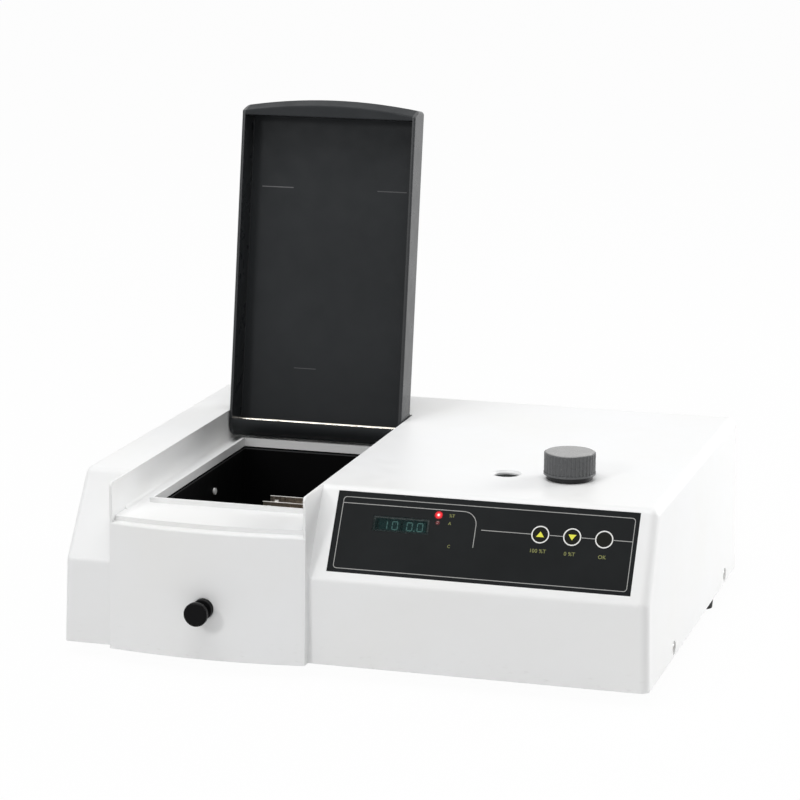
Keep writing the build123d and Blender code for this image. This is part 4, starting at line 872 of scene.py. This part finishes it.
class SPECTRO_OT_knob_and_dial(Step, bpy.types.Operator):
    """Finishes the wavelength knob and prints the dial's scale"""

    bl_idname = "spectro.knob_and_dial"
    bl_label = "Wavelength knob and dial"

    # Casing millimetres: the smooth top of the knob, above which the knob is painted paler as a painted
    # highlight, the dial's face and the underside of its window
    knob_top = 141.35
    dial = (348.5, 104.6, 109.5)
    window = (301.5, 106.8, 116.95)
    line_circle = 54.0
    number_circle = 46.6

    def scale_marks(self, dial, under_window):
        """Lines and numbers round the dial, with the resting value under the window."""
        marks = []
        for value in range(dial.lowest, dial.highest + 1, dial.line_step):
            turn = under_window - math.radians((value - dial.resting) * dial.turn_per_value)
            numbered = (value - dial.lowest) % dial.number_step == 0
            long, half = (3.0, 1.5) if numbered else (1.6, 0.8)
            fresh = [plate(long, 0.22, 0, (self.line_circle - half, 0))]
            if numbered:
                middle = (self.number_circle, 0)
                fresh.append(lettering(str(value), dial.number_height, middle, math.pi))
            marks += [swing(mark, turn) for mark in fresh]
        return marks

    def work(self, scene):
        casing = scene.spectro_casing
        grip = moulded("knob_plastic", casing.knob_colour, 0.27, grain=0.5, depth=0.008, soften=0.1)
        # Painted highlight: above the knob's top height its colour turns paler, for light falling on the
        # top
        painted_highlight_top = grip.z > at(0, 0, self.knob_top).z
        grip.feed("Base Color", grip.blend(painted_highlight_top, grip.fed("Base Color"), casing.knob_top_colour))
        dress(grip, "wavelength_knob")
        collar = moulded(
            "collar_plastic", (0.008, 0.008, 0.009), 0.4, soften=0.3, specular_ior_level=0.3
        )
        dress(collar, "knob_collar")
        dress(bare_metal("shaft_steel", (0.7, 0.7, 0.69), 0.22, (1, 1, 0.05)), "drive_shaft")
        dress(moulded("dial_paint", (0.02, 0.02, 0.022), 0.5, grain=0.5, depth=0.003), "wavelength_dial")

        ink = moulded("dial_ink", (0.8, 0.8, 0.76), 0.5, grain=0.3, depth=0.002)
        across, up, _ = (self.window[axis] - self.dial[axis] for axis in range(3))
        under_window = math.pi + math.asin(up / across)
        marks = self.scale_marks(scene.spectro_dial, under_window)
        top = Matrix.Translation(at(*self.dial)) @ Matrix.Scale(MM, 4)
        printed("dial_scale", marks, top, ink, "wavelength_drive")
        red = moulded("hairline_ink", (0.6, 0.02, 0.02), 0.5, grain=0.3, depth=0.002)
        line = swing(plate(16.0, 0.25, 0), under_window)
        under_glass = Matrix.Translation(at(*self.window)) @ Matrix.Scale(MM, 4)
        printed("window_hairline", [line], under_glass, red, "casing")


class SPECTRO_OT_pull_rod(Step, bpy.types.Operator):
    """Finishes the pull rod, its knob and its bush"""

    bl_idname = "spectro.pull_rod"
    bl_label = "Pull rod"

    def work(self, scene):
        dress(bare_metal("pull_steel", (0.74, 0.74, 0.73), 0.2, (1, 0.05, 1)), "pull_rod")
        polished = moulded(
            "pull_plastic", (0.004, 0.004, 0.0045), 0.25, grain=1.5, depth=0.002, soften=0.3,
            specular_ior_level=0.08,
        )
        dress(polished, "pull_knob")
        bush = moulded("bush_plastic", (0.004, 0.004, 0.0045), 0.45, soften=0.25, specular_ior_level=0.1)
        dress(bush, "rod_bush")


class SPECTRO_OT_screws(Step, bpy.types.Operator):
    """Models the casing's cross-head screws and finishes the ones inside"""

    bl_idname = "spectro.screws"
    bl_label = "Screws"

    # Millimetres: radius and height along the outline of a screw, the arms of its recess, and
    # where the screws stand in the casing
    outline = (
        (0, 1.2), (1.6, 1.15), (2.8, 0.85), (3.4, 0.4), (3.6, 0),
        (2.0, 0), (2.0, -7.2), (1.2, -8), (0, -8),
    )
    arm = (4.0, 0.75, 1.6)
    arm_height = 0.95
    screw_rows = (92.0, 294.0)
    screw_height = 6.3

    def cross_screw(self):
        """One pan-head screw along +Z with its seat at 0, in millimetres."""
        body = bmesh.new()
        corners = [body.verts.new((radius, 0, z)) for radius, z in self.outline]
        edges = [body.edges.new(pair) for pair in zip(corners, corners[1:])]
        bmesh.ops.spin(
            body, geom=[*corners, *edges], cent=(0, 0, 0), axis=(0, 0, 1), angle=2 * math.pi,
            steps=40, use_merge=True,
        )
        bmesh.ops.remove_doubles(body, verts=body.verts, dist=1e-4)
        bmesh.ops.recalc_face_normals(body, faces=body.faces)
        cutter = bmesh.new()
        for turn in (0, math.pi / 2):
            arm = bmesh.new()
            bmesh.ops.create_cube(arm, size=1)
            bmesh.ops.scale(arm, vec=self.arm, verts=arm.verts)
            low = [vertex for vertex in arm.verts if vertex.co.z < 0]
            bmesh.ops.scale(arm, vec=(0.35, 0.8, 1), verts=low)
            lift = Matrix.Translation((0, 0, self.arm_height))
            join(cutter, arm, Matrix.Rotation(turn, 4, "Z") @ lift)
        holders = [placed("screw_part", mesh_data("screw_part", mesh)) for mesh in (body, cutter)]
        cut = holders[0].modifiers.new("recess", "BOOLEAN")
        cut.object = holders[1]
        cut.operation = "DIFFERENCE"
        cut.solver = "EXACT"
        cut.use_self = True
        data = evaluated_mesh(holders[0])
        for holder in holders:
            bpy.data.objects.remove(holder)
        return data

    def work(self, scene):
        plated = bare_metal("screw_zinc", (0.5, 0.5, 0.49), 0.26, soften=0.1)
        screw = self.cross_screw()
        group = bmesh.new()
        for y in self.screw_rows:
            for x, side in ((1.4, -1), (428.6, 1)):
                one = bmesh.new()
                one.from_mesh(screw)
                outwards = Matrix.Rotation(side * math.pi / 2, 4, "Y")
                turn = outwards @ Matrix.Rotation(0.5 + 0.01 * y, 4, "Z")
                place = Matrix.Translation(at(x, y, self.screw_height))
                join(group, one, place @ turn @ Matrix.Scale(MM, 4))
        bpy.data.meshes.remove(screw)
        made = piece("cross_head_screws", group, plated, "casing")
        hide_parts("cover_screws")
        dress(plated, "panel_screws")


class SPECTRO_OT_rear_fittings(Step, bpy.types.Operator):
    """Finishes the rear panel, the mains inlet, the switch and the data port"""

    bl_idname = "spectro.rear_fittings"
    bl_label = "Rear fittings"

    # Casing millimetres: the inlet with its pins and hollow, and the rocker with its rising face
    inlet = (142.0, 38.0)
    pins = ((-7.0, -1.5), (0.0, 2.5), (7.0, -1.5))
    hollow_start = 320.1
    rocker = (104.0, 337.0, 38.0)
    rocker_lean = math.radians(11)
    face_reach = 4.0
    face_slope = 1.5 / 7.5

    def inlet_finish(self):
        """Black plastic with bright pins in its hollow."""
        finish = moulded("inlet_plastic", (0.014, 0.014, 0.015), 0.42, soften=0.3)
        spots = []
        for across, up in self.pins:
            middle = at(self.inlet[0] + across, 0, self.inlet[1] + up)
            spots.append(finish.x.near(middle.x, 0.00101) * finish.z.near(middle.z, 0.00201))
        in_hollow = finish.y > at(0, self.hollow_start, 0).y
        metal = (sum(spots) * in_hollow).limit()
        bright = (0.75, 0.72, 0.62)
        finish.feed("Base Color", finish.blend(metal, finish.fed("Base Color"), bright))
        finish.feed("Metallic", metal)
        return finish

    def rocker_mark(self, height, side):
        """Carries a drawing in millimetres to a height on the rocker's sloping face."""
        pivot = Matrix.Translation(at(*self.rocker)) @ Matrix.Rotation(self.rocker_lean, 4, "X")
        reach = self.face_reach + self.face_slope * abs(height)
        tilt = Matrix.Rotation(side * math.atan(self.face_slope), 4, "X")
        outwards = Matrix.Rotation(math.pi, 4, "Z") @ Matrix.Rotation(math.pi / 2, 4, "X")
        lift = Matrix.Translation(Vector((0, reach, height)) * MM)
        return pivot @ lift @ tilt @ outwards @ Matrix.Scale(MM, 4)

    def work(self, scene):
        painted = moulded("rear_paint", (0.5, 0.51, 0.52), 0.45, grain=1.1, depth=0.015, soften=0.2)
        dress(painted, "rear_panel")
        dress(self.inlet_finish(), "mains_inlet")
        dress(moulded("switch_plastic", (0.014, 0.014, 0.015), 0.42, soften=0.25), "switch_body")
        glossy = moulded(
            "rocker_plastic", (0.02, 0.02, 0.021), 0.3, grain=0.8, depth=0.003, soften=0.3
        )
        dress(glossy, "switch_rocker")
        dress(bare_metal("port_shell", (0.66, 0.66, 0.65), 0.32, (0.1, 1, 1), soften=0.2), "data_port")

        white = moulded("mark_ink", (0.8, 0.8, 0.8), 0.5, grain=0.3, depth=0.002)
        for name, flat, height, side in (
            ("switch_on_mark", plate(0.7, 3.4, 0.2), -3.9, 1),
            ("switch_off_mark", ring(1.7, 0.6), 3.9, -1),
        ):
            place = self.rocker_mark(height, side)
            printed(name, [flat], place, white, "switch_rocker", 0.04)


class SPECTRO_OT_base(Step, bpy.types.Operator):
    """Finishes the base pan and the feet"""

    bl_idname = "spectro.base"
    bl_label = "Base"

    def work(self, scene):
        finish = Finish("pan_zinc", metallic=0.85)
        values = {"Vector": finish.place, "Scale": 110.0}
        crystals = finish.node("ShaderNodeTexVoronoi", {}, values, "Color")
        flakes = finish.node("ShaderNodeSeparateColor", {}, {"Color": crystals}, "Red")
        finish.feed("Base Color", finish.blend(flakes, (0.4, 0.41, 0.41), (0.56, 0.57, 0.56)))
        finish.feed("Roughness", flakes.spread(0.0, 1.0, 0.3, 0.48))
        finish.relief(flakes, 0.004, 0.2)
        dress(finish, "base_pan")
        rubber = moulded("foot_rubber", (0.017, 0.017, 0.017), 0.8, grain=1.2, depth=0.05, soften=0.4)
        dress(rubber, "rubber_feet")


class SPECTRO_OT_optics(Step, bpy.types.Operator):
    """Finishes the monochromator, the lamp, the gears and the detector"""

    bl_idname = "spectro.optics"
    bl_label = "Optics"

    def work(self, scene):
        cast = moulded(
            "cast_alloy", (0.42, 0.43, 0.44), 0.5, grain=1.8, depth=0.06, mottle=0.12, soften=0.4
        )
        cast.feed("Metallic", 0.7)
        dress(cast, "monochromator_case", "monochromator_lid", "bearing_bridge")
        sheet = bare_metal("sheet_alloy", (0.62, 0.63, 0.64), 0.36, (0.08, 1, 1), soften=0.2)
        dress(sheet, "lamp_house")
        black = moulded(
            "optic_anodised", (0.018, 0.018, 0.019), 0.5, grain=0.3, depth=0.006, soften=0.25
        )
        dress(
            black, "mirror_mounts", "slit_plates", "exit_tube", "condenser_barrel", "detector_housing",
            "grating_holder",
        )
        brass = bare_metal("gear_brass", (0.7, 0.52, 0.2), 0.3, (1, 1, 0.1), soften=0.1)
        dress(brass, "drive_pinion", "sector_gear")
        silver = clouded(
            "mirror_coat", 12, (0.84, 0.85, 0.86), (0.9, 0.9, 0.91), 15, 0.001,
            metallic=1.0, roughness=0.03,
        )
        dress(silver, "collimating_mirror", "focusing_mirror")
        ruled = Finish("ruled_coat", metallic=1.0, roughness=0.12)
        bands = ruled.bands("Z", 22.0, 1.5)
        hues = {"stops": [(0.0, (0.75, 0.5, 0.62)), (1.0, (0.5, 0.7, 0.82))]}
        ruled.feed("Base Color", ruled.node("ShaderNodeValToRGB", hues, {"Fac": bands}))
        ruled.relief(ruled.noise(0.3, 1.0, (1, 1, 0.02)), 0.003)
        dress(ruled, "diffraction_grating")
        glass = clouded(
            "lens_glass", 15, (0.85, 0.9, 0.89), (0.9, 0.94, 0.93), 9, 0.001,
            roughness=0.03, alpha=0.35, ior=1.52,
        )
        dress(glass, "condenser_lens", "halogen_lamp")
        ceramic = moulded("socket_ceramic", (0.74, 0.7, 0.6), 0.6, grain=0.8, depth=0.02, soften=0.4)
        dress(ceramic, "lamp_socket")
        dress(bare_metal("diode_can", (0.72, 0.68, 0.55), 0.25, soften=0.2), "photodiode")


class SPECTRO_OT_electronics(Step, bpy.types.Operator):
    """Finishes the boards, the key switches and the transformer"""

    bl_idname = "spectro.electronics"
    bl_label = "Electronics"

    def board(self, name, parts_above):
        """Green board with tracks. Parts that stand above a height are black."""
        finish = Finish(name)
        values = {
            "Vector": finish.place, "Scale": 160.0, "Mortar Size": 0.03, "Brick Width": 0.9,
            "Row Height": 0.22,
        }
        tracks = finish.node("ShaderNodeTexBrick", {"offset": 0.3}, values, "Fac")
        green = finish.blend(tracks, (0.012, 0.085, 0.035), (0.03, 0.16, 0.07))
        above = finish.z > parts_above
        finish.feed("Base Color", finish.blend(above, green, (0.015, 0.015, 0.017)))
        finish.feed("Roughness", above.spread(0.0, 1.0, 0.35, 0.5))
        finish.relief(tracks * (1 - above), 0.02)
        return finish

    def work(self, scene):
        dress(self.board("main_board_green", at(0, 0, 13.9).z), "main_board")
        dress(self.board("small_board_green", 1.0), "panel_board", "detector_board")
        dress(moulded("key_switch_black", (0.016, 0.016, 0.017), 0.45, soften=0.2), "key_switches")
        core = Finish("core_iron", metallic=0.6, roughness=0.5)
        leaves = core.bands("Y", 320.0, 0.3)
        core.feed("Base Color", core.blend(leaves, (0.05, 0.05, 0.055), (0.16, 0.15, 0.14)))
        core.relief(leaves, 0.06)
        dress(core, "transformer_core")
        tape = Finish("coil_tape", roughness=0.4)
        turns = tape.bands("Z", 60.0, 0.6, 1.0)
        tape.feed("Base Color", tape.blend(turns, (0.5, 0.32, 0.05), (0.68, 0.48, 0.1)))
        tape.relief(turns, 0.15)
        dress(tape, "transformer_coil")


OPERATORS = tuple(Step.__subclasses__())
GROUPS = {
    "spectro_casing": CasingFinish,
    "spectro_panel": PanelPrint,
    "spectro_dial": DialPrint,
    "spectro_light": StudioLight,
}


class SPECTRO_PT_sidebar(bpy.types.Panel):
    """Lists the settings and the pieces"""

    bl_idname = "SPECTRO_PT_sidebar"
    bl_label = "Spectrophotometer"
    bl_space_type = "VIEW_3D"
    bl_region_type = "UI"
    bl_category = "Spectrophotometer"

    def draw(self, context):
        for name, group in GROUPS.items():
            box = self.layout.box()
            for setting in group.__annotations__:
                box.prop(getattr(context.scene, name), setting)
        for operator in OPERATORS:
            self.layout.operator(operator.bl_idname)


CLASSES = (*GROUPS.values(), *OPERATORS, SPECTRO_PT_sidebar)


def register():
    for made in CLASSES:
        bpy.utils.register_class(made)
    for name, group in GROUPS.items():
        setattr(bpy.types.Scene, name, PointerProperty(type=group))


def unregister():
    for name in GROUPS:
        delattr(bpy.types.Scene, name)
    for made in reversed(CLASSES):
        bpy.utils.unregister_class(made)


def main():
    register()
    for operator in OPERATORS:
        family, name = operator.bl_idname.split(".")
        getattr(getattr(bpy.ops, family), name)()


if __name__ == "__main__":
    main()
